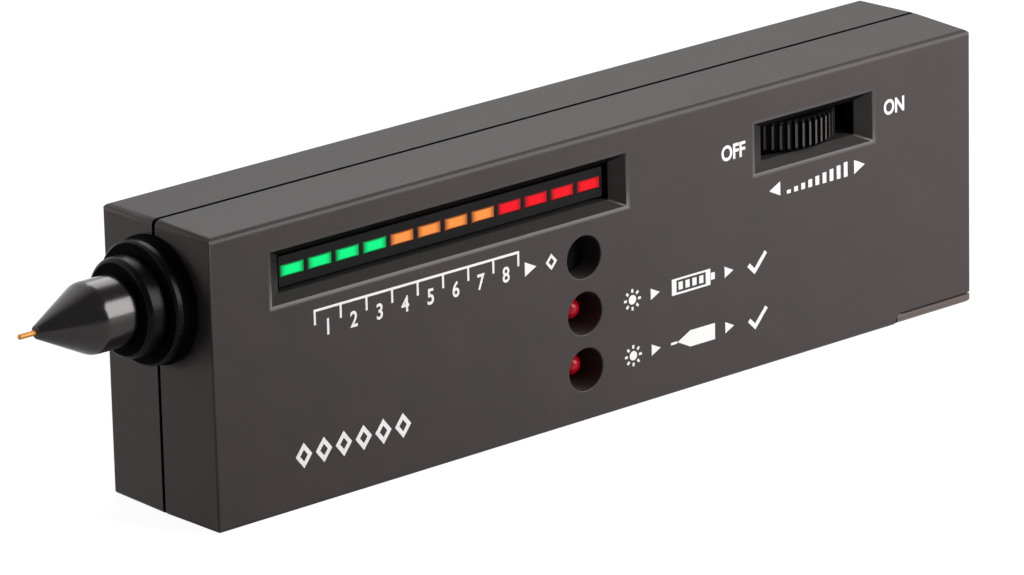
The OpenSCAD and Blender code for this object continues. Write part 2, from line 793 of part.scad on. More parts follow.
// Cover: strip flush with both faces, tray between the walls, end plate, and a rail on each side
module battery_cover() {
    g = cover_gap;
    side = in_y - g;
    strip = [[cover_x0, -past], [x1 + past, -past], [x1 + past, strip_h], [cover_x0, strip_h]];
    rail = [[side - rail_web, wall / 2], [side, wall / 2], [side, rail_z0],
        [in_y + rail_reach, rail_z0], [in_y + rail_reach, rail_z1],
        [side - rail_lip, rail_z1], [side - rail_web, wall]];
    grip_z = battery_z1 - grip_count * grip_pitch;
    color(case_grey)
        difference() {
            union() {
                intersection() {
                    case_form(edge_r);
                    along_y(face_y - past, past - face_y) polygon(rounded(strip, [0, 0, 0, strip_r]));
                }
                intersection() {
                    case_form(edge_r);
                    box([cover_x0, -side, -past], [plate_x1, side, wall - g]);
                }
                box([cover_x0 + strip_r, face_y + rib_in, wall / 2],
                    [x1 - draft - rib_in, -face_y - rib_in, strip_h + strip_gap - rib_fit]);
                box([plate_x0, -side, wall / 2], [plate_x1, side, opening_z1 - g]);
                for (m = [0, 1])
                    mirror([0, m, 0]) along_x(cover_x0, plate_x1) polygon(rail);
            }
            for (i = [0:grip_count - 1])
                box([plate_x1 - grip_d, -grip_l / 2, grip_z + i * grip_pitch],
                    [plate_x1 + past, grip_l / 2, grip_z + (i + 0.5) * grip_pitch]);
        }
}

// Foam on the end plate, over the middle two thirds of the battery's end
module battery_pad() {
    y = battery_t / 3;
    z = battery_w / 3;
    color("#3a3a3c")
        box([pad_x0, -y, battery_z - z], [plate_x0, y, battery_z + z]);
}

module circuit_board() {
    color(board_green)
        difference() {
            box([board_x0, board_y, board_z0], [board_x1, board_back, board_z1]);
            for (p = posts)
                pin_y(p.x, p.y, board_y - past, board_back + past, pass(board_screw_d));
        }
}

module board_screws() {
    color(steel)
        for (p = posts)
            translate([p.x, board_back, p.y]) screw(board_head_d, board_screw_d, board_screw_l);
}

module bar_holder() {
    f = segment_fit;
    color(holder_grey)
        difference() {
            box([bar_x0, bar_y, bar_z - bar_h / 2], [bar_x1, board_y, bar_z + bar_h / 2]);
            for (i = [1:bar_count])
                box([segment_x(i) - f, bar_y - past, bar_z - segment_h / 2 - f],
                    [segment_x(i) + segment_l + f, bar_y + segment_d, bar_z + segment_h / 2 + f]);
        }
}

module bar_segment(i) {
    color(bar_colours[min(floor((i - 1) * 3 / bar_count), 2)])
        box([segment_x(i), bar_y + segment_fit, bar_z - segment_h / 2],
            [segment_x(i) + segment_l, bar_y + segment_d, bar_z + segment_h / 2]);
}

// Domed lamp that stands on the board and looks out of its hole
module lamp(z) {
    dome_y = board_y - lamp_h + lamp_d / 2;
    color(lamp_red) {
        pin_y(hole_x, z, dome_y, board_y, lamp_d);
        pin_y(hole_x, z, board_y - lamp_lip_t, board_y, lamp_d + 2 * lamp_lip);
        translate([hole_x, dome_y, z]) sphere(d = lamp_d);
    }
}

module battery_lamp() {
    lamp(hole_zs[1]);
}

module ready_lamp() {
    lamp(hole_zs[2]);
}

module buzzer() {
    color(chip_black)
        difference() {
            pin_y(hole_x, hole_zs[0], board_y - buzzer_h, board_y, buzzer_d);
            pin_y(hole_x, hole_zs[0], board_y - buzzer_h - past, board_y - buzzer_h / 2, buzzer_hole_d);
        }
}

// Chip on the board's back with n legs on its upper and lower sides
module chip(x, n) {
    l = n * leg_pitch;
    w = chip_w / 2;
    color(chip_black)
        box([x - l / 2, board_back + leg_t, chip_z - w], [x + l / 2, board_back + chip_h, chip_z + w]);
    color(steel)
        for (i = [0:n - 1], s = [-1, 1])
            translate([x - l / 2 + (i + 0.5) * leg_pitch, board_back, chip_z + s * w])
                box([-leg_t / 2, 0, -leg_t], [leg_t / 2, chip_h / 2, leg_t]);
}

module driver_chip() {
    chip(driver_x, driver_legs);
}

module amplifier_chip() {
    chip(amplifier_x, amplifier_legs);
}

// One of a row of resistors, upright behind the light scale
module resistor(i) {
    x = driver_x + (i - (resistor_count + 1) / 2) * resistor_pitch;
    y = board_back + resistor_d / 2 + leg_t / 2;
    color("#c9b58c")
        translate([x, 0, resistor_z]) {
            translate([0, y, -resistor_l / 2]) cylinder(h = resistor_l, d = resistor_d);
            translate([0, y, -resistor_foot]) cylinder(h = 2 * resistor_foot, d = leg_t);
            for (s = [-1, 1])
                pin_y(0, s * (resistor_foot - leg_t / 2), board_back, y, leg_t);
        }
}

module capacitor(i) {
    z = chip_z + (i - 1) * capacitor_pitch;
    color("#26304a")
        pin_y(capacitor_x, z, board_back, board_back + capacitor_h, capacitor_d);
}

module trimmer() {
    w = trimmer_w / 2;
    top = board_back + trimmer_h;
    color("#2b5fa8")
        difference() {
            box([trimmer_x, board_back, resistor_z - w], [trimmer_x + trimmer_w, top, resistor_z + w]);
            pin_y(trimmer_x + w, resistor_z, top - head_h, top + past, bite(trimmer_screw_d));
        }
}

module trimmer_screw() {
    x = trimmer_x + trimmer_w / 2;
    d = trimmer_screw_d;
    color("#c8a24a")
        translate([x, board_back + trimmer_h - head_h, resistor_z])
            difference() {
                pin_y(0, 0, 0, head_h, d);
                box([-d, head_h / 2, -slot_w / 2], [d, head_h + past, slot_w / 2]);
            }
}

// Four points of ridge i on the wheel's outline
function ridge(i) =
    let (a = (i + 0.5) * 360 / ridge_count)
    let (top = atan(ridge_top / 2 / wheel_r), foot = atan(ridge_foot / 2 / (wheel_r - ridge_d)))
    [for (q = [[-foot, ridge_d], [-top, 0], [top, 0], [foot, ridge_d]])
        (wheel_r - q[1]) * [cos(a + q[0]), sin(a + q[0])]];

module volume_wheel() {
    c = wheel_chamfer;
    outline = [[0, wheel_z0], [wheel_r - c, wheel_z0], [wheel_r, wheel_z0 + c],
        [wheel_r, wheel_z1 - c], [wheel_r - c, wheel_z1], [0, wheel_z1]];
    color("#1d1c1c")
        translate([wheel_x, wheel_y, 0])
            difference() {
                intersection() {
                    along_z(wheel_z0 - past, wheel_z1 + past)
                        polygon([for (i = [0:ridge_count - 1]) each ridge(i)]);
                    rotate_extrude($fn = 96) polygon(outline);
                }
                along_z(wheel_z0 - past, wheel_z1 + past) circle(d = pass(wheel_screw_d));
                along_z(wheel_z0 - past, hub_z0) circle(d = pass(wheel_head_d));
                along_z(hub_z0 + head_h / 2, wheel_z1 + past) circle(d = bite(shaft_d));
            }
}

module wheel_screw() {
    color(steel)
        translate([wheel_x, wheel_y, hub_z0])
            rotate([-90, 0, 0]) screw(wheel_head_d, wheel_screw_d, wheel_screw_l);
}

module pot_rotor() {
    shaft_z0 = hub_z0 + head_h / 2;
    color("#d8d4c8")
        translate([wheel_x, wheel_y, 0])
            difference() {
                union() {
                    along_z(shaft_z0, flange_z0 + flange_t) circle(d = shaft_d);
                    along_z(flange_z0, flange_z0 + flange_t) circle(d = flange_d);
                }
                along_z(shaft_z0 - past, hub_z0 + wheel_screw_l + blind) circle(d = bite(wheel_screw_d));
            }
}

module pot_base() {
    color("#2a2a2c")
        translate([wheel_x, wheel_y, 0])
            difference() {
                along_z(pot_z0, pot_z1) circle(d = pot_d);
                along_z(pot_z0 - past, pot_z1 + past) circle(d = shaft_d + 2 * shaft_fit);
                along_z(flange_z0 - shaft_fit, pot_z1 + past) circle(d = flange_d + 2 * flange_room);
            }
}

module pot_board() {
    color(board_green)
        box([wheel_x - pot_board_l / 2, battery_clear - in_y, pot_z1],
            [wheel_x + pot_board_l / 2, in_y - battery_clear, pot_board_z1]);
}

// Leads of the potentiometer: down past the wheel, along over the battery, and onto the board's back
module pot_lead(i) {
    step = lead_step * pot_lead_d;
    bend = lead_bend * pot_lead_d;
    x = wheel_x - pot_board_l / 2 + pot_lead_d;
    y = board_back + (i + 1) * step;
    z = battery_z1 + bend;
    end_x = board_x1 - i * step;
    color("#8f8f93")
        wire(route([[x, y, pot_z1], [x, y, z], [end_x, y, z], [end_x, board_back, z]], bend), pot_lead_d);
}

module battery() {
    r = battery_r;
    t = battery_t / 2;
    block = [[-t, wall], [t, wall], [t, battery_z1], [-t, battery_z1]];
    color("#6d7378")
        along_x(battery_x0, battery_x1) polygon(rounded(block, [r, r, r, r]));
}

module battery_terminals() {
    x = battery_x0 - terminal_h;
    color(steel) {
        pin_x(x, battery_x0, 0, terminal_zs[0], plug_terminal_d);
        difference() {
            pin_x(x, battery_x0, 0, terminal_zs[1], socket_terminal_d);
            pin_x(x - past, battery_x0 - terminal_h / 4, 0, terminal_zs[1], plug_terminal_d);
        }
    }
}

// Moulded connector whose two pockets take the terminals
module battery_snap() {
    z = snap_l / 2;
    x = battery_x0 - terminal_h - snap_gap;
    color(chip_black)
        difference() {
            box([snap_x0, -snap_w / 2, battery_z - z], [snap_x0 + snap_t, snap_w / 2, battery_z + z]);
            for (k = [0, 1])
                pin_x(x, battery_x0 + past, 0, terminal_zs[k], terminal_ds[k] + 2 * snap_gap);
        }
}

// Lead from the snap connector to the board's back, at height z
module battery_lead(z) {
    y = snap_w / 4;
    end_x = board_x1 - lead_step * lead_d;
    wire(route([[snap_x0, y, z], [end_x, y, z], [end_x, board_back, z]], lead_bend * lead_d), lead_d);
}

module red_lead() {
    color("#b3261e") battery_lead(battery_z + lead_step * lead_d);
}

module black_lead() {
    color(chip_black) battery_lead(battery_z - lead_step * lead_d);
}

// Collar: two rounded rings and a thin brim outside, a neck in the case wall and a flange inside it
module probe_collar() {
    bore = spigot_d / 2 + neck_fit;
    q = ring_round;
    e = brim_w / 4;
    brim = ring_d / 2 + brim_reach;
    pts = [[bore, step_x0], [step_d / 2, step_x0], [step_d / 2, ring_x0], [ring_d / 2, ring_x0],
        [ring_d / 2, brim_x0], [brim, brim_x0], [brim, x0 - neck_fit], [neck_d / 2, x0 - neck_fit],
        [neck_d / 2, in_x0 + neck_fit], [inner_flange_d / 2, in_x0 + neck_fit],
        [inner_flange_d / 2, collar_x1], [bore, collar_x1]];
    color(gloss_black) turned(rounded(pts, [0, q, 0, q, 0, e, e, 0, 0, 0, 0, 0]));
}

module probe_nose() {
    fine = tip_d / 2 + tip_fit;
    seat_x = step_x0 - neck_fit;
    pts = [[fine, cone_x0], [cone_end_d / 2, cone_x0], [nose_d / 2, cone_x1], [nose_d / 2, seat_x],
        [spigot_d / 2, seat_x], [spigot_d / 2, spigot_x1], [bore_d / 2, spigot_x1],
        [bore_d / 2, bore_x0], [fine, bore_x0]];
    color(gloss_black) turned(rounded(pts, [0, 0, nose_round, 0, 0, 0, 0, 0, 0]));
}

module probe_nut() {
    color(steel)
        turned([[spigot_d / 2 + neck_fit, nut_x0], [nut_d / 2, nut_x0], [nut_d / 2, spigot_x1],
            [spigot_d / 2 + neck_fit, spigot_x1]]);
}

// Plug that closes the bore behind the spring, with a hole for the leads
module probe_plug() {
    body = bore_d / 2 - neck_fit;
    cap_x = spigot_x1 + neck_fit;
    color("#d8d4c8")
        turned([[tail_d / 2, plug_x0], [body, plug_x0], [body, cap_x], [spigot_d / 2, cap_x],
            [spigot_d / 2, plug_x1], [tail_d / 2, plug_x1]]);
}

module probe_tip() {
    shoulder = bore_d / 2 - tip_fit;
    c = tip_d / 4;
    color(copper)
        turned([[0, tip_x0], [tip_d / 2 - c, tip_x0], [tip_d / 2, tip_x0 + c], [tip_d / 2, shoulder_x0],
            [shoulder, shoulder_x0], [shoulder, shoulder_x1], [tail_d / 2, shoulder_x1],
            [tail_d / 2, tail_x1], [0, tail_x1]]);
}

module heater_bead() {
    inner = tail_d / 2 + tip_fit / 2;
    outer = bead_d / 2;
    x = tail_x1 - bead_l;
    color("#e8e4da") turned([[inner, x], [outer, x], [outer, tail_x1], [inner, tail_x1]]);
}

// Spring around the tail, between the tip's shoulder and the plug
module tip_spring() {
    a = shoulder_x1 + spring_wire / 2 + tip_fit;
    b = plug_x0 - spring_wire / 2 - tip_fit;
    steps = spring_steps * spring_turns;
    path = [for (i = [0:steps])
        let (t = i * 360 / spring_steps)
        [a + (b - a) * i / steps, spring_r * cos(t), probe_z + spring_r * sin(t)]];
    color(steel) wire(path, spring_wire, [1, 0, 0], 6);
}

// Lead from the plug to the board's back, above the axis for s = 1 and below it for s = -1
module probe_lead(s) {
    z = probe_z + s * probe_lead_d;
    end_x = board_x0 + lead_step * probe_lead_d;
    bend = lead_bend * probe_lead_d;
    color(s > 0 ? "#d9d9d6" : "#4b7a3a")
        wire(route([[plug_x1, 0, z], [end_x, 0, z], [end_x, board_back, z]], bend), probe_lead_d);
}

front_shell();
rear_shell();
case_screws();
battery_cover();
battery_pad();
circuit_board();
board_screws();
bar_holder();
battery_lamp();
ready_lamp();
buzzer();
for (i = [1:bar_count])
    bar_segment(i);
driver_chip();
amplifier_chip();
trimmer();
trimmer_screw();
for (i = [1:resistor_count])
    resistor(i);
for (i = [1:capacitor_count])
    capacitor(i);
volume_wheel();
wheel_screw();
pot_rotor();
pot_base();
pot_board();
for (i = [1:pot_lead_count])
    pot_lead(i);
battery();
battery_terminals();
battery_snap();
red_lead();
black_lead();
probe_collar();
probe_nose();
probe_nut();
probe_plug();
probe_tip();
heater_bead();
tip_spring();
probe_lead(1);  // probe_lead_1
probe_lead(-1);  // probe_lead_2
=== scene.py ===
import json
import math

import bmesh
import bpy
from mathutils import Matrix, Vector


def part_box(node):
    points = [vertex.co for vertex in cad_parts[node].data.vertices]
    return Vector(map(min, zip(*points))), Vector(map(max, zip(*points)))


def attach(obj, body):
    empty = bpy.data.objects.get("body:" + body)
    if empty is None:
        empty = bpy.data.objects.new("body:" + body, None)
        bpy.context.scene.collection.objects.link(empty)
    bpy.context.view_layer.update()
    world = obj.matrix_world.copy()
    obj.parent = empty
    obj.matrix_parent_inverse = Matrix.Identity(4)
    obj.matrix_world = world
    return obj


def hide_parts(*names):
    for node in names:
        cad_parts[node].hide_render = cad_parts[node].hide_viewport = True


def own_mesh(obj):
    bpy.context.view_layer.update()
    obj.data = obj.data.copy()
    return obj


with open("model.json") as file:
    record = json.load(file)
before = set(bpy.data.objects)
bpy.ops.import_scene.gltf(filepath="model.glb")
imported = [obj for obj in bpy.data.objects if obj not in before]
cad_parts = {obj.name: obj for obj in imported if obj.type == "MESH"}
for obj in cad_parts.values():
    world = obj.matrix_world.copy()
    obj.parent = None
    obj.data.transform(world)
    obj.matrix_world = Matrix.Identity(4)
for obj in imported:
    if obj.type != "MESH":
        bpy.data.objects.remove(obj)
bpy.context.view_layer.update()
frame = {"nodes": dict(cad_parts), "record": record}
nodes = frame["nodes"]
slotOf = {row["node"]: row["material_slot"] for row in frame["record"]["subparts"]}
mm = 0.001
print("frame:", len(nodes), "nodes")


# Camera at the photograph's place, found from the straight edges of the case
photoCamera = {
    "place": (-590.711, -685.284, 313.644),  # mm
    "azimuth": -40.394,
    "elevation": 18.248,
    "roll": -1.36,
    "focal": 7081.88,  # pixels of the photograph
    "imageWidth": 1024,
    "sensor": 36.0,  # mm
}


def addCamera(spec):
    lens = bpy.data.cameras.new("photoCamera")
    lens.sensor_fit = "HORIZONTAL"
    lens.sensor_width = spec["sensor"]
    lens.lens = spec["focal"] / spec["imageWidth"] * spec["sensor"]
    camera = bpy.data.objects.new("photoCamera", lens)
    bpy.context.scene.collection.objects.link(camera)
    swing = Matrix.Rotation(math.radians(spec["azimuth"]), 4, "Z")
    tilt = Matrix.Rotation(math.radians(90 - spec["elevation"]), 4, "X")
    roll = Matrix.Rotation(math.radians(spec["roll"]), 4, "Z")
    camera.matrix_world = Matrix.Translation(Vector(spec["place"]) * mm) @ swing @ tilt @ roll
    bpy.context.scene.camera = camera


addCamera(photoCamera)
bpy.context.scene.view_settings.view_transform = "Standard"
print("camera: set")


# sRGB hex to the linear colour that a shader takes
def hexColour(code):
    parts = [int(code[i:i + 2], 16) / 255 for i in (1, 3, 5)]
    return [c / 12.92 if c <= 0.04045 else ((c + 0.055) / 1.055) ** 2.4 for c in parts] + [1.0]


# A node with its settings; an input is a value, or the output that feeds it
def addNode(tree, kind, inputs=None, **settings):
    node = tree.nodes.new(kind)
    for name, value in settings.items():
        setattr(node, name, value)
    for name, value in (inputs or {}).items():
        if isinstance(value, bpy.types.NodeSocket):
            tree.links.new(value, node.inputs[name])
        else:
            node.inputs[name].default_value = value
    return node


def newTree(name):
    material = bpy.data.materials.new(name)
    material.use_nodes = True
    material.node_tree.nodes.clear()
    return material, material.node_tree


# Soft studio: a softbox at the front right, panels over the back and at the left,
# and a room that is dim in front
studio = {
    "aim": (-80.0, 0.0, 29.4),  # mm, middle of the nose
    "panels": {  # place in mm, size in m, radiance as a lamp and as seen in reflections
        "softbox": {"place": (220.0, -285.0, 190.0), "width": 0.40, "height": 0.30,
                    "lit": 6.8, "mirrored": 3.4},
        "backPanel": {"place": (281.0, 301.0, 403.0), "width": 0.30, "height": 0.30,
                      "lit": 2.4, "mirrored": 1.3},
        "sidePanel": {"place": (-450.0, 330.0, 64.0), "width": 0.25, "height": 0.12,
                      "lit": 18.0, "mirrored": 0.0},
    },
    "mirroredAt": 0.9,  # share of the way out to a panel at which reflections see it
    "roomFront": 0.14,  # brightness of the room before and behind the object
    "roomBack": 0.75,
    "roomFrom": 0.0,  # depth of a ray's direction where the room starts to pale
    "roomTo": 0.6,
    "floorReach": 8.0,  # m
    "floorDrop": 0.02,  # mm, clear of the case's underside
    "floorColour": "#7c7b7a",
    "floorGlow": 0.92,  # plain white that the floor adds for the camera
    "floorMirror": (0.14, 0.8),  # the same in reflections, dim at the left
    "mirrorAlong": (1.0, 0.6, 0.0),  # direction in which it pales
    "mirrorSpan": (-0.08, 0.05),  # m
}


# Each panel is a lamp that lights and, a little nearer, a dimmer one that reflections see
def addPanels(spec):
    aim = Vector(spec["aim"]) * mm
    for name, panel in spec["panels"].items():
        reach = Vector(panel["place"]) * mm - aim
        turn = reach.to_track_quat("Z", "Y").to_matrix().to_4x4()
        for use, near in (("lit", 1.0), ("mirrored", spec["mirroredAt"])):
            if panel[use] == 0:
                continue
            lamp = bpy.data.lights.new(f"{name}.{use}", "AREA")
            lamp.shape = "RECTANGLE"
            lamp.size = panel["width"] * near
            lamp.size_y = panel["height"] * near
            lamp.energy = panel[use] * math.pi * lamp.size * lamp.size_y
            light = bpy.data.objects.new(f"{name}.{use}", lamp)
            bpy.context.scene.collection.objects.link(light)
            light.visible_camera = False
            light.visible_glossy = use == "mirrored"
            light.visible_diffuse = use == "lit"
            light.matrix_world = Matrix.Translation(aim + reach * near) @ turn


def addRoom(spec):
    world = bpy.data.worlds.new("studioRoom")
    bpy.context.scene.world = world
    world.use_nodes = True
    tree = world.node_tree
    tree.nodes.clear()
    path = addNode(tree, "ShaderNodeLightPath")
    ray = addNode(tree, "ShaderNodeTexCoord")
    depth = addNode(tree, "ShaderNodeSeparateXYZ", {0: ray.outputs["Generated"]})
    tone = addNode(tree, "ShaderNodeMapRange", {
        "Value": depth.outputs["Y"], "From Min": spec["roomFrom"], "From Max": spec["roomTo"],
        "To Min": spec["roomFront"], "To Max": spec["roomBack"]})
    bright = addNode(tree, "ShaderNodeMath", {
        0: tone.outputs[0], 1: path.outputs["Is Camera Ray"]}, operation="MAXIMUM")
    light = addNode(tree, "ShaderNodeBackground", {"Strength": bright.outputs[0]})
    addNode(tree, "ShaderNodeOutputWorld", {"Surface": light.outputs[0]})


# The floor takes the shadow, and adds a plain glow for the camera and a sloping one for reflections
def addFloor(spec):
    material, tree = newTree("paleStudioFloor")
    path = addNode(tree, "ShaderNodeLightPath")
    seen = addNode(tree, "ShaderNodeMath", {
        0: path.outputs["Is Camera Ray"], 1: path.outputs["Is Transmission Ray"]},
        operation="ADD", use_clamp=True)
    direct = addNode(tree, "ShaderNodeMath", {
        0: seen.outputs[0], 1: spec["floorGlow"]}, operation="MULTIPLY")
    spot = addNode(tree, "ShaderNodeTexCoord")
    along = addNode(tree, "ShaderNodeVectorMath", {
        0: spot.outputs["Object"], 1: spec["mirrorAlong"]}, operation="DOT_PRODUCT")
    pale = addNode(tree, "ShaderNodeMapRange", {
        "Value": along.outputs["Value"],
        "From Min": spec["mirrorSpan"][0], "From Max": spec["mirrorSpan"][1],
        "To Min": spec["floorMirror"][0], "To Max": spec["floorMirror"][1]})
    mirrored = addNode(tree, "ShaderNodeMath", {
        0: path.outputs["Is Glossy Ray"], 1: pale.outputs[0]}, operation="MULTIPLY")
    share = addNode(tree, "ShaderNodeMath", {
        0: direct.outputs[0], 1: mirrored.outputs[0]}, operation="MAXIMUM")
    matt = addNode(tree, "ShaderNodeBsdfDiffuse", {"Color": hexColour(spec["floorColour"])})
    white = addNode(tree, "ShaderNodeEmission", {"Strength": share.outputs[0]})
    both = addNode(tree, "ShaderNodeAddShader", {0: matt.outputs[0], 1: white.outputs[0]})
    addNode(tree, "ShaderNodeOutputMaterial", {"Surface": both.outputs[0]})
    form = bmesh.new()
    bmesh.ops.create_grid(form, x_segments=1, y_segments=1, size=spec["floorReach"])
    bmesh.ops.translate(form, verts=form.verts, vec=(0, 0, -spec["floorDrop"] * mm))
    mesh = bpy.data.meshes.new("studioFloor")
    form.to_mesh(mesh)
    form.free()
    mesh.materials.append(material)
    floor = bpy.data.objects.new("studioFloor", mesh)
    bpy.context.scene.collection.objects.link(floor)


addPanels(studio)
addRoom(studio)
addFloor(studio)
print("studio: lit")


# Noise in the finishes: its detail in the grain and in the blotches, and the part of the
# grain's range that the roughness follows
noise = {"grain": 3.0, "blotch": 2.0, "low": 0.3, "high": 0.7}


# Finish with a grain: sizes in mm, two tones, roughness from and to, and plain shader values.
# The mix node's sockets 6 and 7 are its colours, and its output 2 is their mix
def grainedFinish(name, light, dark, grain, depth, rough, stretch=(1, 1, 1), blotch=8.0, **shader):
    material, tree = newTree(name)
    place = addNode(tree, "ShaderNodeTexCoord")
    laid = addNode(tree, "ShaderNodeMapping", {
        "Vector": place.outputs["Object"], "Scale": stretch})
    fine = addNode(tree, "ShaderNodeTexNoise", {
        "Vector": laid.outputs[0], "Scale": 1 / (grain * mm), "Detail": noise["grain"]})
    broad = addNode(tree, "ShaderNodeTexNoise", {
        "Vector": laid.outputs[0], "Scale": 1 / (blotch * mm), "Detail": noise["blotch"]})
    tone = addNode(tree, "ShaderNodeMix", {
        0: broad.outputs[0], 6: hexColour(dark), 7: hexColour(light)}, data_type="RGBA")
    sheen = addNode(tree, "ShaderNodeMapRange", {
        "Value": fine.outputs[0], "From Min": noise["low"], "From Max": noise["high"],
        "To Min": rough[0], "To Max": rough[1]})
    dents = addNode(tree, "ShaderNodeBump", {
        "Height": fine.outputs[0], "Strength": 1.0, "Distance": depth * mm})
    values = {key.replace("_", " "): value for key, value in shader.items()}
    surface = addNode(tree, "ShaderNodeBsdfPrincipled", {
        "Base Color": tone.outputs[2], "Roughness": sheen.outputs[0],
        "Normal": dents.outputs[0], **values})
    addNode(tree, "ShaderNodeOutputMaterial", {"Surface": surface.outputs[0]})
    return material


resin = {
    "cloud": 0.9,  # mm
    "rough": (0.5, 0.6),
    "gloss": 0.12,
    "strength": 1.0,
}


# Lit resin: the colour runs from the rim to the middle by the piece's own glow attribute
def litResin(name, rim, middle, body):
    material, tree = newTree(name)
    glow = addNode(tree, "ShaderNodeAttribute", attribute_name="glow")
    place = addNode(tree, "ShaderNodeTexCoord")
    cloud = addNode(tree, "ShaderNodeTexNoise", {
        "Vector": place.outputs["Object"], "Scale": 1 / (resin["cloud"] * mm)})
    tone = addNode(tree, "ShaderNodeMix", {
        0: glow.outputs["Fac"], 6: hexColour(rim), 7: hexColour(middle)}, data_type="RGBA")
    sheen = addNode(tree, "ShaderNodeMapRange", {
        "Value": cloud.outputs[0], "To Min": resin["rough"][0], "To Max": resin["rough"][1]})
    surface = addNode(tree, "ShaderNodeBsdfPrincipled", {
        "Base Color": hexColour(body), "Roughness": sheen.outputs[0],
        "Specular IOR Level": resin["gloss"],
        "Emission Color": tone.outputs[2], "Emission Strength": resin["strength"]})
    addNode(tree, "ShaderNodeOutputMaterial", {"Surface": surface.outputs[0]})
    return material


# Grains of moulded plastic, ink and plate are near 0.05 mm in life, too fine to show,
# so they are drawn several times coarser
finishes = {
    # Satin ABS from a spark-eroded mould: warm dark grey with a dry sheen over a fine even grain
    "case_abs": grainedFinish("satinMouldedAbs", "#433d3c", "#3b3635", 0.3, 0.0025, (0.31, 0.41),
                              blotch=6.0, Specular_IOR_Level=0.3),
    # Polished phenolic: deep black, mirror-like under a clear skin, with faint polishing haze
    "probe_black": grainedFinish("polishedPhenolic", "#0c0a0a", "#070606", 0.5, 0.0006,
                                 (0.16, 0.24), Coat_Weight=1.0, Coat_Roughness=0.18, Coat_IOR=1.7,
                                 IOR=1.63, Specular_Tint=(1.0, 0.85, 0.85, 1.0)),
    # Drawn copper under a thin oxide skin: warm, half matt, with lines along its length,
    # drawn wider than the die leaves them
    "tip_copper": grainedFinish("drawnCopper", "#ffb662", "#f5a254", 0.08, 0.001, (0.4, 0.5),
                                stretch=(0.05, 1, 1), Metallic=0.4),
    # Nylon moulded in a ridged tool: black with a dull shine on the ridges
    "wheel_plastic": grainedFinish("ridgedBlackNylon", "#0b0a0a", "#080707", 0.25, 0.001,
                                   (0.5, 0.6), Specular_IOR_Level=0.15),
    # Matt polystyrene: near black, so that the segments stand out
    "holder_plastic": grainedFinish("mattPolystyrene", "#100e0e", "#0c0b0b", 0.25, 0.002,
                                    (0.55, 0.65), Specular_IOR_Level=0.2),
    # Dyed clear epoxy: wet gloss over a deep red
    "lamp_red": grainedFinish("dyedRedEpoxy", "#b80820", "#980416", 0.8, 0.0005, (0.16, 0.22),
                              blotch=1.5, Specular_IOR_Level=0.4,
                              Emission_Color=hexColour("#ff1030"), Emission_Strength=0.05),
    # Zinc-plated steel: bright cool grey with a slightly uneven plate
    "screw_steel": grainedFinish("zincPlatedSteel", "#c3c5c6", "#a8abad", 0.2, 0.003, (0.25, 0.4),
                                 Metallic=1.0),
    # Nickel-plated steel: warmer and smoother than the zinc
    "nut_steel": grainedFinish("nickelPlatedSteel", "#c9c6be", "#b2afa6", 0.2, 0.003, (0.2, 0.35),
                               Metallic=1.0),
    # Closed-cell foam: dull dark grey with small pits
    "pad_foam": grainedFinish("closedCellFoam", "#3f3f42", "#2c2c2e", 0.4, 0.12, (0.85, 0.95),
                              blotch=0.8),
    # Glass-epoxy board under solder mask: green with the weave just showing
    "board_laminate": grainedFinish("maskedGlassEpoxy", "#23764a", "#185c37", 0.5, 0.01,
                                    (0.3, 0.45), blotch=1.2),
    # Moulded epoxy and rubber parts: plain black, dusty
    "black_plastic": grainedFinish("mouldedBlackEpoxy", "#151517", "#0f0f10", 0.2, 0.008,
                                   (0.6, 0.75), Specular_IOR_Level=0.2),
    # Moulded thermoplastic: plain blue with a soft shine
    "trimmer_blue": grainedFinish("blueThermoplastic", "#2d63ad", "#275698", 0.3, 0.004,
                                  (0.3, 0.42)),
    # Turned brass: warm yellow, bright, with fine tool marks
    "trimmer_brass": grainedFinish("turnedBrass", "#d0a94f", "#b58c3a", 0.1, 0.003, (0.22, 0.36),
                                   Metallic=1.0),
    # Dipped enamel: fawn and shiny, a little uneven
    "resistor_enamel": grainedFinish("fawnEnamel", "#d0bb90", "#c0a878", 0.4, 0.01, (0.25, 0.4),
                                     blotch=1.5),
    # Shrunk PVC sleeve: dark blue, tight and shiny
    "capacitor_sleeve": grainedFinish("shrunkPvcSleeve", "#2b3653", "#202a42", 0.5, 0.006,
                                      (0.2, 0.32)),
    # Natural nylon: milky and waxy
    "pale_nylon": grainedFinish("naturalNylon", "#dcd8cc", "#cfcabb", 0.4, 0.004, (0.4, 0.55)),
    # Fired alumina: chalky white
    "bead_ceramic": grainedFinish("firedAlumina", "#ece8de", "#ddd7ca", 0.15, 0.006, (0.5, 0.65)),
    # Lacquered steel jacket: plain slate grey, smooth
    "battery_jacket": grainedFinish("lacqueredSteelJacket", "#6f757a", "#656b70", 0.6, 0.002,
                                    (0.25, 0.35)),
    # Soft PVC insulation: waxy
    "lead_red": grainedFinish("redPvc", "#bd2b22", "#a5211a", 0.4, 0.006, (0.4, 0.5)),
    "lead_black": grainedFinish("blackPvc", "#242427", "#1c1c1e", 0.4, 0.006, (0.4, 0.5)),
    "lead_grey": grainedFinish("greyPvc", "#95959a", "#88888c", 0.4, 0.006, (0.4, 0.5)),
    "lead_white": grainedFinish("whitePvc", "#dfdfdc", "#d2d2ce", 0.4, 0.006, (0.4, 0.5)),
    "lead_green": grainedFinish("greenPvc", "#508240", "#457336", 0.4, 0.006, (0.4, 0.5)),
    # Frosted resin over a lit chip: deep colour at the rim, bright in the middle
    "segment_green": litResin("litGreenResin", "#0a7a3c", "#06fa8a", "#020402"),
    "segment_amber": litResin("litAmberResin", "#8a4526", "#ff9a48", "#040302"),
    "segment_red": litResin("litRedResin", "#8c141a", "#ff1022", "#040202"),
}
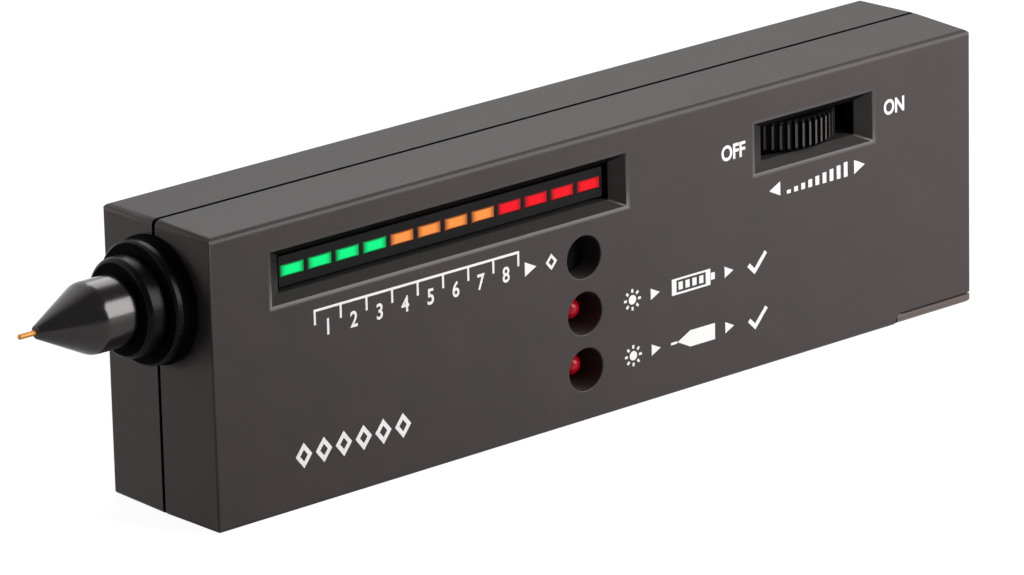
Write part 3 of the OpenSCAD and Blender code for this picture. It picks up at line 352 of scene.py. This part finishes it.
# The same ABS in the sloped recesses, dull and darker: painted shade
recessPaintedShade = grainedFinish("recessPaintedShadeAbs", "#1f1c1b", "#1a1817", 0.3, 0.002, (0.7, 0.8),
                             Specular_IOR_Level=0.42)
# The same ABS on the rims of the recesses, with a stronger sheen: a painted highlight, a brighter
# line
rimPaintedHighlight = grainedFinish("rimPaintedHighlightAbs", "#433d3c", "#3b3635", 0.3, 0.0025, (0.31, 0.41),
                          blotch=6.0, Specular_IOR_Level=0.58)
# The same ABS deep in the holes, the slots and the seam: painted black shade
paintedShadeBlack = grainedFinish("paintedShadeBlackAbs", "#0a0909", "#070606", 0.3, 0.003, (0.75, 0.85),
                          Specular_IOR_Level=0.06)
# The same ABS a shade paler, on the cover, and as a painted highlight on the fillets in the
# recesses' corners
paleAbsAndPaintedHighlightFinish = grainedFinish("paleAbsAndPaintedHighlight", "#695c59", "#5e524f", 0.3, 0.0025, (0.31, 0.41),
                            blotch=6.0, Specular_IOR_Level=0.4)
# Turned phenolic left satin: black with soft dim lights
collarFinish = grainedFinish("satinPhenolic", "#0a0909", "#070606", 0.4, 0.001, (0.25, 0.31),
                             Specular_IOR_Level=0.25)
# Nylon on the ridges' tops, painted pale as their highlight
crestPaintedHighlight = grainedFinish("ridgeTopPaintedHighlight", "#423b38", "#342f2c", 0.25, 0.002, (0.3, 0.38),
                            Specular_IOR_Level=0.6)
# Pad-printed ink: flat white, a little thin in places
inkFinish = grainedFinish("padPrintedWhiteInk", "#fbfaf9", "#f0eeed", 0.3, 0.002, (0.45, 0.6),
                          blotch=0.8)

for name, node in nodes.items():
    node.data.materials.clear()
    node.data.materials.append(finishes[slotOf[name]])
print("finishes: laid on", len(nodes), "nodes")


# A finished piece from a bmesh; it rides on the body of the node that it stands for
def addPiece(form, name, material, body, replaced=(), smoothUnder=40, others=()):
    mesh = bpy.data.meshes.new(name)
    form.to_mesh(mesh)
    form.free()
    for finish in (material, *others):
        mesh.materials.append(finish)
    mesh.polygons.foreach_set("use_smooth", [True] * len(mesh.polygons))
    mesh.set_sharp_from_angle(angle=math.radians(smoothUnder))
    piece = bpy.data.objects.new(name, mesh)
    bpy.context.scene.collection.objects.link(piece)
    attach(piece, body)
    if replaced:
        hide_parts(*replaced)
    return piece


joining = {"gap": 0.002, "flat": 0.2}  # mm between points that are one, degrees of a flat area


# Copy of a CAD node with its triangles joined and each flat area made one face
def mergedCopy(node):
    form = bmesh.new()
    form.from_mesh(nodes[node].data)
    bmesh.ops.remove_doubles(form, verts=form.verts, dist=joining["gap"] * mm)
    bmesh.ops.recalc_face_normals(form, faces=form.faces)
    bmesh.ops.dissolve_limit(form, angle_limit=math.radians(joining["flat"]),
                             verts=form.verts, edges=form.edges)
    return form


# Rounds the outward edges, sharper than so many degrees, whose middle in mm is chosen
def roundEdges(form, width, chosen, segments=4, sharper=25, clamp=True):
    edges = [e for e in form.edges
             if e.is_manifold and e.calc_face_angle_signed() > math.radians(sharper)
             and chosen((e.verts[0].co + e.verts[1].co) / (2 * mm))]
    bmesh.ops.bevel(form, geom=edges, offset=width * mm, offset_type="OFFSET", segments=segments,
                    profile=0.5, affect="EDGES", clamp_overlap=clamp, material=-1)
    return len(edges)


# Weighted normals keep the broad faces flat beside their rounded edges
def keepFlat(piece):
    weights = piece.modifiers.new("flatFaces", "WEIGHTED_NORMAL")
    weights.keep_sharp = True
    weights.weight = 100  # the broadest face decides


def inMm(box):
    return [corner / mm for corner in box]


tolerance = 0.01  # mm, within which two places are the same


def same(a, b):
    return abs(a - b) < tolerance


frontLow, frontHigh = inMm(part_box("front_shell"))
coverLow, coverHigh = inMm(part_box("battery_cover"))
faceY = frontLow.y
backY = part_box("rear_shell")[1].y / mm

# Shells of the case: the CAD forms with the rims, the seam and the cover's line softened
shells = {
    "rim": 0.38,  # mm, around the recesses in the front
    "holeRim": 0.2,  # around the three round holes
    "rimDepth": 0.3,  # the rims reach to this depth
    "inner": 0.12,  # inner edge of the sloped recesses
    "mitre": 0.15,  # fillet in the lower right corners of the recesses
    "recessDepth": 1.5,  # depth of the slopes
    "recessLow": 27.0,  # below the two recesses, above the holes
    "slopeFacing": -0.3,  # a slope whose normal falls below this takes the painted black shade
    "sill": 2.6,  # depth to which the sills of the recesses escape the painted black shade
    "sillFacing": 0.5,  # a sill's normal rises above this
    "holeX": -4.3,  # line of the round holes
    "holeReach": 3.2,  # the walls of the round holes keep the case's finish
    "seam": 0.08,  # edges of the groove between the shells
    "seamNear": 0.02,  # what is this near the groove's side belongs to it
    "roof": 38.0,  # above this the seam's edges take the groove's painted black shade
    "seamHalf": 0.25,  # half the groove's width
    "edgeBand": 1.05,  # the case's outer skin, as deep as its rounded edges
    "coverLine": 0.1,  # edges where the cover meets the shells
    "stripTop": 1.3,  # top of the cover's strip
    "coverTop": 2.2,  # top of the zone around that strip
    "coverLead": 1.0,  # and how far it starts before the strip
    "bore": 0.25,  # rim of the screw holes in the back
    "grip": 0.12,  # edges of the cover's grip ridges
    "plate": 0.6,  # outer skin of the cover's end plate
}


def onSkin(p):
    band = shells["edgeBand"]
    inX = frontLow.x + band < p.x < frontHigh.x - band
    return not (inX and frontLow.z + band < p.z < frontHigh.z - band)


def nearCover(p):
    return p.z < shells["coverTop"] and p.x > coverLow.x - shells["coverLead"]


shellSlots = {"recess": 1, "pit": 2, "fillet": 3, "rim": 4}  # material slots after the case's own


# A shell's faces take their finish by depth and facing: a painted highlight on the rims of the
# recesses, painted shade on their slopes and sills, and painted black shade on the slopes that face
# down, in the seam and in all that is deeper
def markInside(form, spec, seamY):
    for face in form.faces:
        p = face.calc_center_median() / mm
        sunk = backY - abs(p.y)  # depth below the front or the back
        inside = not onSkin(p)
        groove = spec["seam"] if p.z > spec["roof"] else spec["seamNear"]
        if inside and p.z < spec["recessLow"] and abs(p.x - spec["holeX"]) < spec["holeReach"]:
            continue
        byRecess = p.z > spec["recessLow"]
        sill = byRecess and sunk < spec["sill"] and face.normal.z > spec["sillFacing"]
        if abs(p.y - seamY) < groove or (inside and sunk > spec["recessDepth"] and not sill):
            face.material_index = shellSlots["pit"]
        elif inside and sunk > spec["rimDepth"]:
            # Facing up, a recess's slopes and sills take the painted shade; facing down, the
            # painted black shade
            dark = face.normal.z < spec["slopeFacing"]
            face.material_index = shellSlots["pit" if dark else "recess"]
        # The recesses' rims take the painted highlight
        elif inside and byRecess and p.y < 0 and sunk > tolerance:
            face.material_index = shellSlots["rim"]


# The lower right corner of each recess has a fillet, painted paler as a highlight line
def roundMitres(form, spec):
    low, high = faceY + spec["rim"] / 4, faceY + spec["recessDepth"]
    edges = []
    for edge in form.edges:
        a, b = (v.co / mm for v in edge.verts)
        inside = all(low < p.y < high and p.z > spec["recessLow"] for p in (a, b))
        run = b - a if b.y > a.y else a - b
        if inside and run.y > spec["rim"] and run.x < -spec["rim"] and run.z > spec["rim"]:
            edges.append(edge)
    made = bmesh.ops.bevel(form, geom=edges, offset=spec["mitre"] * mm, offset_type="OFFSET",
                           segments=2, profile=0.5, affect="EDGES", clamp_overlap=True, material=-1)
    for face in made["faces"]:
        face.material_index = shellSlots["fillet"]
    return len(edges)


def addFrontShell(spec):
    form = mergedCopy("front_shell")
    seamY = -spec["seamHalf"]
    counts = [
        roundEdges(form, spec["rim"], lambda p: same(p.y, faceY) and p.z > spec["recessLow"]),
        roundEdges(form, spec["holeRim"], lambda p: same(p.y, faceY) and p.z < spec["recessLow"]
                   and not nearCover(p), clamp=False),
        roundEdges(form, spec["inner"], lambda p: same(p.y, faceY + spec["recessDepth"])),
        roundEdges(form, spec["seam"], lambda p: abs(p.y - seamY) < spec["seamNear"]
                   and onSkin(p) and not nearCover(p)),
        roundEdges(form, spec["coverLine"], lambda p: same(p.y, faceY) and nearCover(p)),
    ]
    markInside(form, spec, seamY)
    counts.append(roundMitres(form, spec))
    print("front shell: edges rounded", counts)
    # Slots: painted shade, painted black shade, a paler painted highlight and a painted rim
    # highlight
    keepFlat(addPiece(form, "frontShell", finishes["case_abs"], "case", ["front_shell"],
                      others=(recessPaintedShade, paintedShadeBlack, paleAbsAndPaintedHighlightFinish, rimPaintedHighlight)))


def addRearShell(spec):
    form = mergedCopy("rear_shell")
    seamY = spec["seamHalf"]
    counts = [
        roundEdges(form, spec["bore"], lambda p: same(p.y, backY) and not nearCover(p)),
        roundEdges(form, spec["seam"], lambda p: abs(p.y - seamY) < spec["seamNear"]
                   and onSkin(p) and not nearCover(p)),
        roundEdges(form, spec["coverLine"], lambda p: same(p.y, backY) and nearCover(p)),
    ]
    markInside(form, spec, seamY)
    print("rear shell: edges rounded", counts)
    # Slots: painted shade and painted black shade
    keepFlat(addPiece(form, "rearShell", finishes["case_abs"], "case", ["rear_shell"],
                      others=(recessPaintedShade, paintedShadeBlack)))


def addCover(spec):
    form = mergedCopy("battery_cover")
    count = roundEdges(form, spec["grip"], lambda p: p.x > coverHigh.x - spec["plate"])
    count += roundEdges(form, spec["coverLine"], lambda p: same(p.z, spec["stripTop"]))
    for face in form.faces:  # what goes inside the case takes the painted black shade
        p = face.calc_center_median() / mm
        if p.z > spec["stripTop"] + tolerance and p.x < coverHigh.x - spec["plate"]:
            face.material_index = 1
    print("battery cover: edges rounded", count)
    # The cover takes the paler ABS, its inside the painted black shade
    keepFlat(addPiece(form, "batteryCover", paleAbsAndPaintedHighlightFinish, "cover", ["battery_cover"],
                      others=(paintedShadeBlack,)))


addFrontShell(shells)
addRearShell(shells)
addCover(shells)


# Closed form turned about an axis from points of (distance along the axis, radius), in mm
def turned(points, origin, axis, radial, steps=96):
    form = bmesh.new()
    verts = [form.verts.new((Vector(origin) + Vector(axis) * a + Vector(radial) * r) * mm)
             for a, r in points]
    ends = verts[1:] + ([verts[0]] if points[0][1] > 0 else [])
    edges = [form.edges.new(pair) for pair in zip(verts, ends)]
    bmesh.ops.spin(form, geom=verts + edges, cent=Vector(origin) * mm, axis=axis,
                   angle=2 * math.pi, steps=steps, use_merge=True, use_duplicate=False)
    bmesh.ops.remove_doubles(form, verts=form.verts, dist=joining["gap"] * mm)
    bmesh.ops.recalc_face_normals(form, faces=form.faces)
    return form


# Rounds the ring edges at one point of a turned form's profile
def roundRing(form, origin, axis, point, width, segments=6):
    start, along = Vector(origin) * mm, Vector(axis)
    chosen = []
    for edge in form.edges:
        reach = [(v.co - start).dot(along) for v in edge.verts]
        radius = [((v.co - start) - along * a).length for v, a in zip(edge.verts, reach)]
        if all(same(a / mm, point[0]) and same(r / mm, point[1]) for a, r in zip(reach, radius)):
            chosen.append(edge)
    bmesh.ops.bevel(form, geom=chosen, offset=width * mm, offset_type="OFFSET", segments=segments,
                    profile=0.5, affect="EDGES", clamp_overlap=True, material=-1)


# Probe: stepped collar, conical nose and copper tip, all turned about one line; x in mm
probe = {
    "axisZ": 29.4,
    "fit": 0.05,  # play between pieces that meet
    "ringRadius": 8.3,
    "ringWidth": 3.0,
    "brimRadius": 8.6,
    "brimWidth": 0.9,
    "brimRound": 0.225,
    "stepRadius": 6.7,
    "stepWidth": 3.1,
    "ringRound": 0.4,
    "stepRound": 0.8,
    "paintedShadeFrom": -69.5,  # behind this the ring, the brim and all inside take the painted black shade
    "paintedShadeFacing": 0.95,  # and so do the faces square to the axis
    "neckRadius": 5.5,
    "wallInside": -65.2,  # inner side of the case's end wall
    "flangeRadius": 7.0,
    "flangeWidth": 1.5,
    "boreRadius": 3.6,
    "noseRadius": 4.8,
    "noseLength": 5.4,
    "coneLength": 7.8,
    "coneEnd": 0.85,
    "coneEndRound": 0.15,
    "noseRound": 0.6,  # reach of the rounding where the cone starts
    "spigotRadius": 3.55,
    "noseBore": 1.5,
    "fineHole": 0.4,
    "fineLength": 2.8,
    "tipRadius": 0.35,
    "tipRound": 0.2,
    "tipSides": 32,
    "tipReach": 2.7,
    "shoulderRadius": 1.45,
    "shoulderLength": 1.5,
    "tailRadius": 0.4,
    "tailLength": 5.4,
}


def addProbe(spec):
    origin, axis, up = (0, 0, spec["axisZ"]), (1, 0, 0), (0, 0, 1)
    ringEnd = frontLow.x - spec["fit"]
    ringStart = ringEnd - spec["ringWidth"]
    stepStart = ringStart - spec["stepWidth"]
    brimStart = ringEnd - spec["brimWidth"]
    neckEnd = spec["wallInside"] + spec["fit"]
    flangeEnd = neckEnd + spec["flangeWidth"]
    collar = turned([(stepStart, spec["boreRadius"]), (stepStart, spec["stepRadius"]),
                     (ringStart, spec["stepRadius"]), (ringStart, spec["ringRadius"]),
                     (spec["paintedShadeFrom"], spec["ringRadius"]), (brimStart, spec["ringRadius"]),
                     (brimStart, spec["brimRadius"]), (ringEnd, spec["brimRadius"]),
                     (ringEnd, spec["neckRadius"]), (neckEnd, spec["neckRadius"]),
                     (neckEnd, spec["flangeRadius"]), (flangeEnd, spec["flangeRadius"]),
                     (flangeEnd, spec["boreRadius"])], origin, axis, up)
    roundRing(collar, origin, axis, (stepStart, spec["stepRadius"]), spec["stepRound"])
    roundRing(collar, origin, axis, (ringStart, spec["ringRadius"]), spec["ringRound"])
    roundRing(collar, origin, axis, (brimStart, spec["brimRadius"]), spec["brimRound"])
    roundRing(collar, origin, axis, (ringEnd, spec["brimRadius"]), spec["brimRound"])
    # The collar's rear and its faces square to the axis take the painted black shade
    for face in collar.faces:
        behind = face.calc_center_median().x > spec["paintedShadeFrom"] * mm
        if behind or abs(face.normal.x) > spec["paintedShadeFacing"]:
            face.material_index = 1
    keepFlat(addPiece(collar, "probeCollar", collarFinish, "case", ["probe_collar"],
                      others=(paintedShadeBlack,)))

    seat = stepStart - spec["fit"]
    coneStart = stepStart - spec["noseLength"]
    coneEnd = coneStart - spec["coneLength"]
    boreEnd = coneEnd + spec["fineLength"]
    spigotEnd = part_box("probe_nose")[1].x / mm
    nose = turned([(coneEnd, spec["fineHole"]), (coneEnd, spec["coneEnd"]),
                   (coneStart, spec["noseRadius"]), (seat, spec["noseRadius"]),
                   (seat, spec["spigotRadius"]), (spigotEnd, spec["spigotRadius"]),
                   (spigotEnd, spec["noseBore"]), (boreEnd, spec["noseBore"]),
                   (boreEnd, spec["fineHole"])], origin, axis, up)
    roundRing(nose, origin, axis, (coneStart, spec["noseRadius"]), spec["noseRound"])
    roundRing(nose, origin, axis, (coneEnd, spec["coneEnd"]), spec["coneEndRound"])
    keepFlat(addPiece(nose, "probeNose", finishes["probe_black"], "case", ["probe_nose"]))

    tipStart = coneEnd - spec["tipReach"]
    shoulder = boreEnd + spec["fit"]
    shoulderEnd = shoulder + spec["shoulderLength"]
    tailEnd = shoulderEnd + spec["tailLength"]
    tip = turned([(tipStart, 0), (tipStart, spec["tipRadius"]), (shoulder, spec["tipRadius"]),
                  (shoulder, spec["shoulderRadius"]), (shoulderEnd, spec["shoulderRadius"]),
                  (shoulderEnd, spec["tailRadius"]), (tailEnd, spec["tailRadius"]), (tailEnd, 0)],
                 origin, axis, up, steps=spec["tipSides"])
    roundRing(tip, origin, axis, (tipStart, spec["tipRadius"]), spec["tipRound"], segments=4)
    addPiece(tip, "copperTip", finishes["tip_copper"], "tip", ["probe_tip"])
    print("probe: collar, nose and tip turned")


addProbe(probe)


# The spring between the tip's shoulder and its fixed end: here only a merged copy with a mesh of
# its own, riding on the case
def addTipSpring():
    spring = addPiece(mergedCopy("tip_spring"), "tipSpring", finishes["screw_steel"], "case",
                      ["tip_spring"])
    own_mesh(spring)


addTipSpring()


# Status lamps: a dome on a straight body with a flange at its foot
lamps = {
    "bodyRadius": 1.5,
    "flange": 1.0,
    "domeSteps": 10,
    "sides": 48,
    "nodes": {"battery_lamp": "batteryLamp", "ready_lamp": "readyLamp"},
}


def addLamps(spec):
    for node, name in spec["nodes"].items():
        low, high = inMm(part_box(node))
        middle = (low + high) / 2
        radius, flangeRadius = spec["bodyRadius"], (high.x - low.x) / 2
        arc = [i * math.pi / 2 / spec["domeSteps"] for i in range(spec["domeSteps"] + 1)]
        dome = [(radius * (1 - math.cos(a)), radius * math.sin(a)) for a in arc]
        foot = high.y - low.y
        points = dome + [(foot - spec["flange"], radius), (foot - spec["flange"], flangeRadius),
                         (foot, flangeRadius), (foot, 0)]
        form = turned(points, (middle.x, low.y, middle.z), (0, 1, 0), (0, 0, 1), spec["sides"])
        addPiece(form, name, finishes["lamp_red"], "case", [node])
    print("lamps: turned")


addLamps(lamps)


# Light bar: frosted segments with softened edges, brighter towards the middle
lightBar = {
    "count": 12,
    "edge": 0.1,  # mm
    "frontFacing": -0.99,  # the front face's normal in y falls below this
    "inset": 0.02,  # mm, before a ring is set to its place
    "fade": (0.95, 0.2),  # mm in x and z over which the glow grows
    "glow": (0.3, 0.55, 0.75, 0.9, 1.0),  # glow of each ring, from the rim to the middle
}


def addSegments(spec):
    for number in range(1, spec["count"] + 1):
        node = f"bar_segment_{number}"
        low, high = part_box(node)
        form = bmesh.new()
        place = Matrix.Translation((low + high) / 2) @ Matrix.Diagonal(high - low).to_4x4()
        bmesh.ops.create_cube(form, size=1, matrix=place)
        front = min(form.faces, key=lambda f: f.calc_center_median().y)
        bmesh.ops.bevel(form, geom=list(front.edges), offset=spec["edge"] * mm,
                        offset_type="OFFSET", segments=3, profile=0.5, affect="EDGES",
                        clamp_overlap=True, material=-1)
        glow = form.verts.layers.float.new("glow")
        front = max((f for f in form.faces if f.normal.y < spec["frontFacing"]),
                    key=lambda f: f.calc_area())
        middle = front.calc_center_median()
        corner = max(front.verts, key=lambda v: v.co.x + v.co.z).co - middle
        half = Vector((corner.x, corner.z))
        for step, level in enumerate(spec["glow"], 1):
            bmesh.ops.inset_region(form, faces=[front], thickness=spec["inset"] * mm, depth=0)
            inner = half - Vector(spec["fade"]) * mm * step / len(spec["glow"])
            for vert in front.verts:
                out = vert.co - middle
                vert.co.x = middle.x + math.copysign(inner.x, out.x)
                vert.co.z = middle.z + math.copysign(inner.y, out.z)
                vert[glow] = level
        addPiece(form, f"barSegment{number}", finishes[slotOf[node]], "case", [node])
    print("light bar:", spec["count"], "segments")


addSegments(lightBar)


# Thumbwheel: the CAD form with its ridges' edges broken
thumbwheel = {
    "edge": 0.12,  # mm
    "band": 0.08,  # outermost band, whose edges are broken
    "crest": 0.03,  # outermost band, painted pale as the ridges' highlight
}


def addWheel(spec):
    form = mergedCopy("volume_wheel")
    low, high = inMm(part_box("volume_wheel"))
    middle = (low + high) / 2
    radius = (high.x - low.x) / 2
    count = roundEdges(form, spec["edge"], lambda p: (p - middle).xy.length > radius - spec["band"],
                       segments=2)
    # The ridges' tops take a pale painted highlight
    for face in form.faces:
        if (face.calc_center_median() / mm - middle).xy.length > radius - spec["crest"]:
            face.material_index = 1
    print("thumbwheel: edges rounded", count)
    keepFlat(addPiece(form, "thumbwheel", finishes["wheel_plastic"], "wheel", ["volume_wheel"],
                      others=(crestPaintedHighlight,)))


addWheel(thumbwheel)


# Case screws: the CAD form with rounded heads
caseScrews = {"head": 0.2}  # mm


def addCaseScrews(spec):
    form = mergedCopy("case_screws")
    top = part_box("case_screws")[1].y / mm
    count = roundEdges(form, spec["head"], lambda p: same(p.y, top))
    print("case screws: edges rounded", count)
    keepFlat(addPiece(form, "caseScrews", finishes["screw_steel"], "case", ["case_screws"]))


addCaseScrews(caseScrews)


# White print on the front face: flat shapes in (x, z) mm, raised by the ink's thickness
ink = {
    "thick": 0.03,  # mm above the face
    "sunk": 0.01,  # and below it
    "smoothUnder": 30,  # degrees
    "narrow": 0.86,  # width of the letters against their plain width
}


def addShape(form, points):
    form.faces.new([form.verts.new((x * mm, 0, z * mm)) for x, z in points])


def addWords(form, words, centre, height, bold):
    curve = bpy.data.curves.new("lettering", "FONT")
    curve.body = words
    curve.offset = bold
    holder = bpy.data.objects.new("lettering", curve)
    bpy.context.scene.collection.objects.link(holder)
    depsgraph = bpy.context.evaluated_depsgraph_get()
    mesh = bpy.data.meshes.new_from_object(holder.evaluated_get(depsgraph))
    bpy.data.objects.remove(holder)
    xs = [v.co.x for v in mesh.vertices]
    ys = [v.co.y for v in mesh.vertices]
    middle = Vector(((min(xs) + max(xs)) / 2, (min(ys) + max(ys)) / 2, 0))
    size = height * mm / (max(ys) - min(ys))
    fit = Matrix.Diagonal((size * ink["narrow"], size, 1, 1))
    upright = Matrix.Rotation(math.pi / 2, 4, "X")
    place = Matrix.Translation((centre[0] * mm, 0, centre[1] * mm)) @ upright
    mesh.transform(place @ fit @ Matrix.Translation(-middle))
    form.from_mesh(mesh)


# Stroke of even width along a bent line
def addStroke(form, points, width):
    line = [Vector(p) for p in points]
    sides = []
    for i, p in enumerate(line):
        before = (p - line[i - 1]).normalized() if i else None
        after = (line[i + 1] - p).normalized() if i < len(line) - 1 else None
        run = ((before or after) + (after or before)).normalized()
        across = Vector((-run.y, run.x)) * width / 2 / run.dot(after or before)
        sides.append((p + across, p - across))
    addShape(form, [a for a, b in sides] + [b for a, b in reversed(sides)])


# Closed band between an outline and the same outline scaled about its centre
def addBand(form, points, centre, scale):
    mid = Vector(centre)
    inner = [mid + (Vector(p) - mid) * scale for p in points]
    loops = []
    for ring in (points, inner):
        verts = [form.verts.new((x * mm, 0, z * mm)) for x, z in ring]
        loops += [form.edges.new(pair) for pair in zip(verts, verts[1:] + verts[:1])]
    bmesh.ops.bridge_loops(form, edges=loops)


def addPrint(form, name):
    for face in form.faces:
        face.normal_update()
        if face.normal.y > 0:
            face.normal_flip()
    raised = bmesh.ops.extrude_face_region(form, geom=form.faces[:])["geom"]
    tops = [g for g in raised if isinstance(g, bmesh.types.BMVert)]
    bmesh.ops.translate(form, verts=tops, vec=(0, -(ink["thick"] + ink["sunk"]) * mm, 0))
    bmesh.ops.translate(form, verts=form.verts, vec=(0, (faceY + ink["sunk"]) * mm, 0))
    bmesh.ops.recalc_face_normals(form, faces=form.faces)
    addPiece(form, name, inkFinish, "case", smoothUnder=ink["smoothUnder"])


# Scale under the light bar: a comb of ticks with its numbers, an arrow head and a gem outline
scalePrint = {
    "start": -50.4, "end": -15.8, "top": 26.5, "line": 0.34, "ticks": 9, "tick": 2.1,
    "numberZ": 23.75, "numberHeight": 2.2, "bold": 0.018,
    "arrow": (-13.7, 23.7), "arrowSize": 1.0,
    "gem": (-10.06, 23.7), "gemSize": (1.0, 1.15), "gemHollow": 0.5,
}


def addScalePrint(spec):
    form = bmesh.new()
    pitch = (spec["end"] - spec["start"]) / (spec["ticks"] - 1)
    half, low = spec["line"] / 2, spec["top"] - spec["line"]
    comb = [(spec["end"] + half, spec["top"]), (spec["start"] - half, spec["top"])]
    for i in range(spec["ticks"]):
        x = spec["start"] + i * pitch
        foot = spec["top"] - spec["tick"]
        comb += [(x - half, low), (x - half, foot), (x + half, foot), (x + half, low)]
    addShape(form, comb[:2] + comb[3:-1])
    for i in range(spec["ticks"] - 1):
        x = spec["start"] + (i + 0.5) * pitch
        addWords(form, str(i + 1), (x, spec["numberZ"]), spec["numberHeight"], spec["bold"])
    (x, z), s = spec["arrow"], spec["arrowSize"]
    addShape(form, [(x - s, z - s), (x + s, z), (x - s, z + s)])
    (x, z), (w, h) = spec["gem"], spec["gemSize"]
    addBand(form, [(x - w, z), (x, z - h), (x + w, z), (x, z + h)], (x, z), spec["gemHollow"])
    addPrint(form, "scalePrint")


# Around the thumbwheel: OFF and ON, and bars that grow between two arrow heads
wheelPrint = {
    "off": (22.7, 31.8), "on": (52.6, 31.85), "height": 2.2, "bold": 0.03,
    "arrows": (30.2, 46.0), "arrowZ": 24.7, "arrowSize": 1.0,
    "bars": 9, "barsFrom": 32.8, "barsTo": 43.4, "barWidth": 0.7, "barLow": 0.5, "barHigh": 2.1,
}


def addWheelPrint(spec):
    form = bmesh.new()
    addWords(form, "OFF", spec["off"], spec["height"], spec["bold"])
    addWords(form, "ON", spec["on"], spec["height"], spec["bold"])
    s, z = spec["arrowSize"], spec["arrowZ"]
    for x, way in zip(spec["arrows"], (-1, 1)):
        addShape(form, [(x - way * s, z - s), (x + way * s, z), (x - way * s, z + s)])
    for i in range(spec["bars"]):
        t = i / (spec["bars"] - 1)
        x = spec["barsFrom"] + t * (spec["barsTo"] - spec["barsFrom"])
        h = spec["barLow"] + t * (spec["barHigh"] - spec["barLow"])
        foot = z - spec["barHigh"] / 2
        addStroke(form, [(x, foot), (x, foot + h)], spec["barWidth"])
    addPrint(form, "wheelPrint")


# Lamp rows: a lamp, what it is for and a tick, with arrow heads between
lampPrint = {
    "rows": (15.1, 7.2),  # z of the battery's and the probe's row
    "lampX": 4.1, "bulb": 0.66, "bulbSides": 24,
    "rays": 8, "rayFrom": 1.0, "rayTo": 1.5, "rayWidth": 0.36,
    "arrows": (8.2, 21.6), "arrowSize": 0.8,
    "signX": 11.2, "signLength": 7.0, "signHalf": 1.15,
    "frame": 0.76,  # inside of the battery's outline against its outside
    "knobFrom": 0.1, "knobTo": 0.8, "knobWidth": 1.0,
    "cells": 4, "cellFrom": 1.6, "cellStep": 1.25, "cellHalf": 0.55, "cellWidth": 0.75,
    "coneFrom": 0.9, "coneTo": 3.2, "barrelPast": 0.7,
    "needleFrom": -0.3, "needleTo": 0.8, "needleWidth": 0.34,
    "tickX": 25.2, "tick": ((0.0, 0.0), (1.1, -1.1), (3.2, 1.25)), "tickWidth": 0.6,
}


def addLampPrint(spec):
    form = bmesh.new()
    for row, z in enumerate(spec["rows"]):
        upright = Matrix.Rotation(math.pi / 2, 4, "X")
        at = Matrix.Translation((spec["lampX"] * mm, 0, z * mm)) @ upright
        bmesh.ops.create_circle(form, cap_ends=True, radius=spec["bulb"] * mm,
                                segments=spec["bulbSides"], matrix=at)
        middle = Vector((spec["lampX"], z))
        for i in range(spec["rays"]):
            a = i * 2 * math.pi / spec["rays"]
            out = Vector((math.cos(a), math.sin(a)))
            ray = [middle + out * spec["rayFrom"], middle + out * spec["rayTo"]]
            addStroke(form, ray, spec["rayWidth"])
        for x in spec["arrows"]:
            s = spec["arrowSize"]
            addShape(form, [(x - s, z - s), (x + s, z), (x - s, z + s)])
        x, h, end = spec["signX"], spec["signHalf"], spec["signX"] + spec["signLength"]
        if row == 0:  # battery with its cells full
            outline = [(x, z - h), (end, z - h), (end, z + h), (x, z + h)]
            addBand(form, outline, ((x + end) / 2, z), spec["frame"])
            knob = [(end + spec["knobFrom"], z), (end + spec["knobTo"], z)]
            addStroke(form, knob, spec["knobWidth"])
            for i in range(spec["cells"]):
                cell = x + spec["cellFrom"] + i * spec["cellStep"]
                bar = [(cell, z - spec["cellHalf"]), (cell, z + spec["cellHalf"])]
                addStroke(form, bar, spec["cellWidth"])
        else:  # probe with its tip
            cone, tail = x + spec["coneTo"], end + spec["barrelPast"]
            addShape(form, [(x + spec["coneFrom"], z), (cone, z - h), (tail, z - h),
                            (tail, z + h), (cone, z + h)])
            needle = [(x + spec["needleFrom"], z), (x + spec["needleTo"], z)]
            addStroke(form, needle, spec["needleWidth"])
        tick = [(spec["tickX"] + across, z + rise) for across, rise in spec["tick"]]
        addStroke(form, tick, spec["tickWidth"])
    addPrint(form, "lampPrint")


# Row of plain gem outlines in the corner
cornerPrint = {"from": -54.3, "z": 7.25, "count": 6, "half": (1.38, 1.75), "pitch": 3.34,
               "hollow": 0.46}


def addCornerPrint(spec):
    form = bmesh.new()
    (w, h), z = spec["half"], spec["z"]
    for i in range(spec["count"]):
        x = spec["from"] + w + i * spec["pitch"]
        addBand(form, [(x - w, z), (x, z - h), (x + w, z), (x, z + h)], (x, z), spec["hollow"])
    addPrint(form, "cornerPrint")


addScalePrint(scalePrint)
addWheelPrint(wheelPrint)
addLampPrint(lampPrint)
addCornerPrint(cornerPrint)
print("print: four groups")
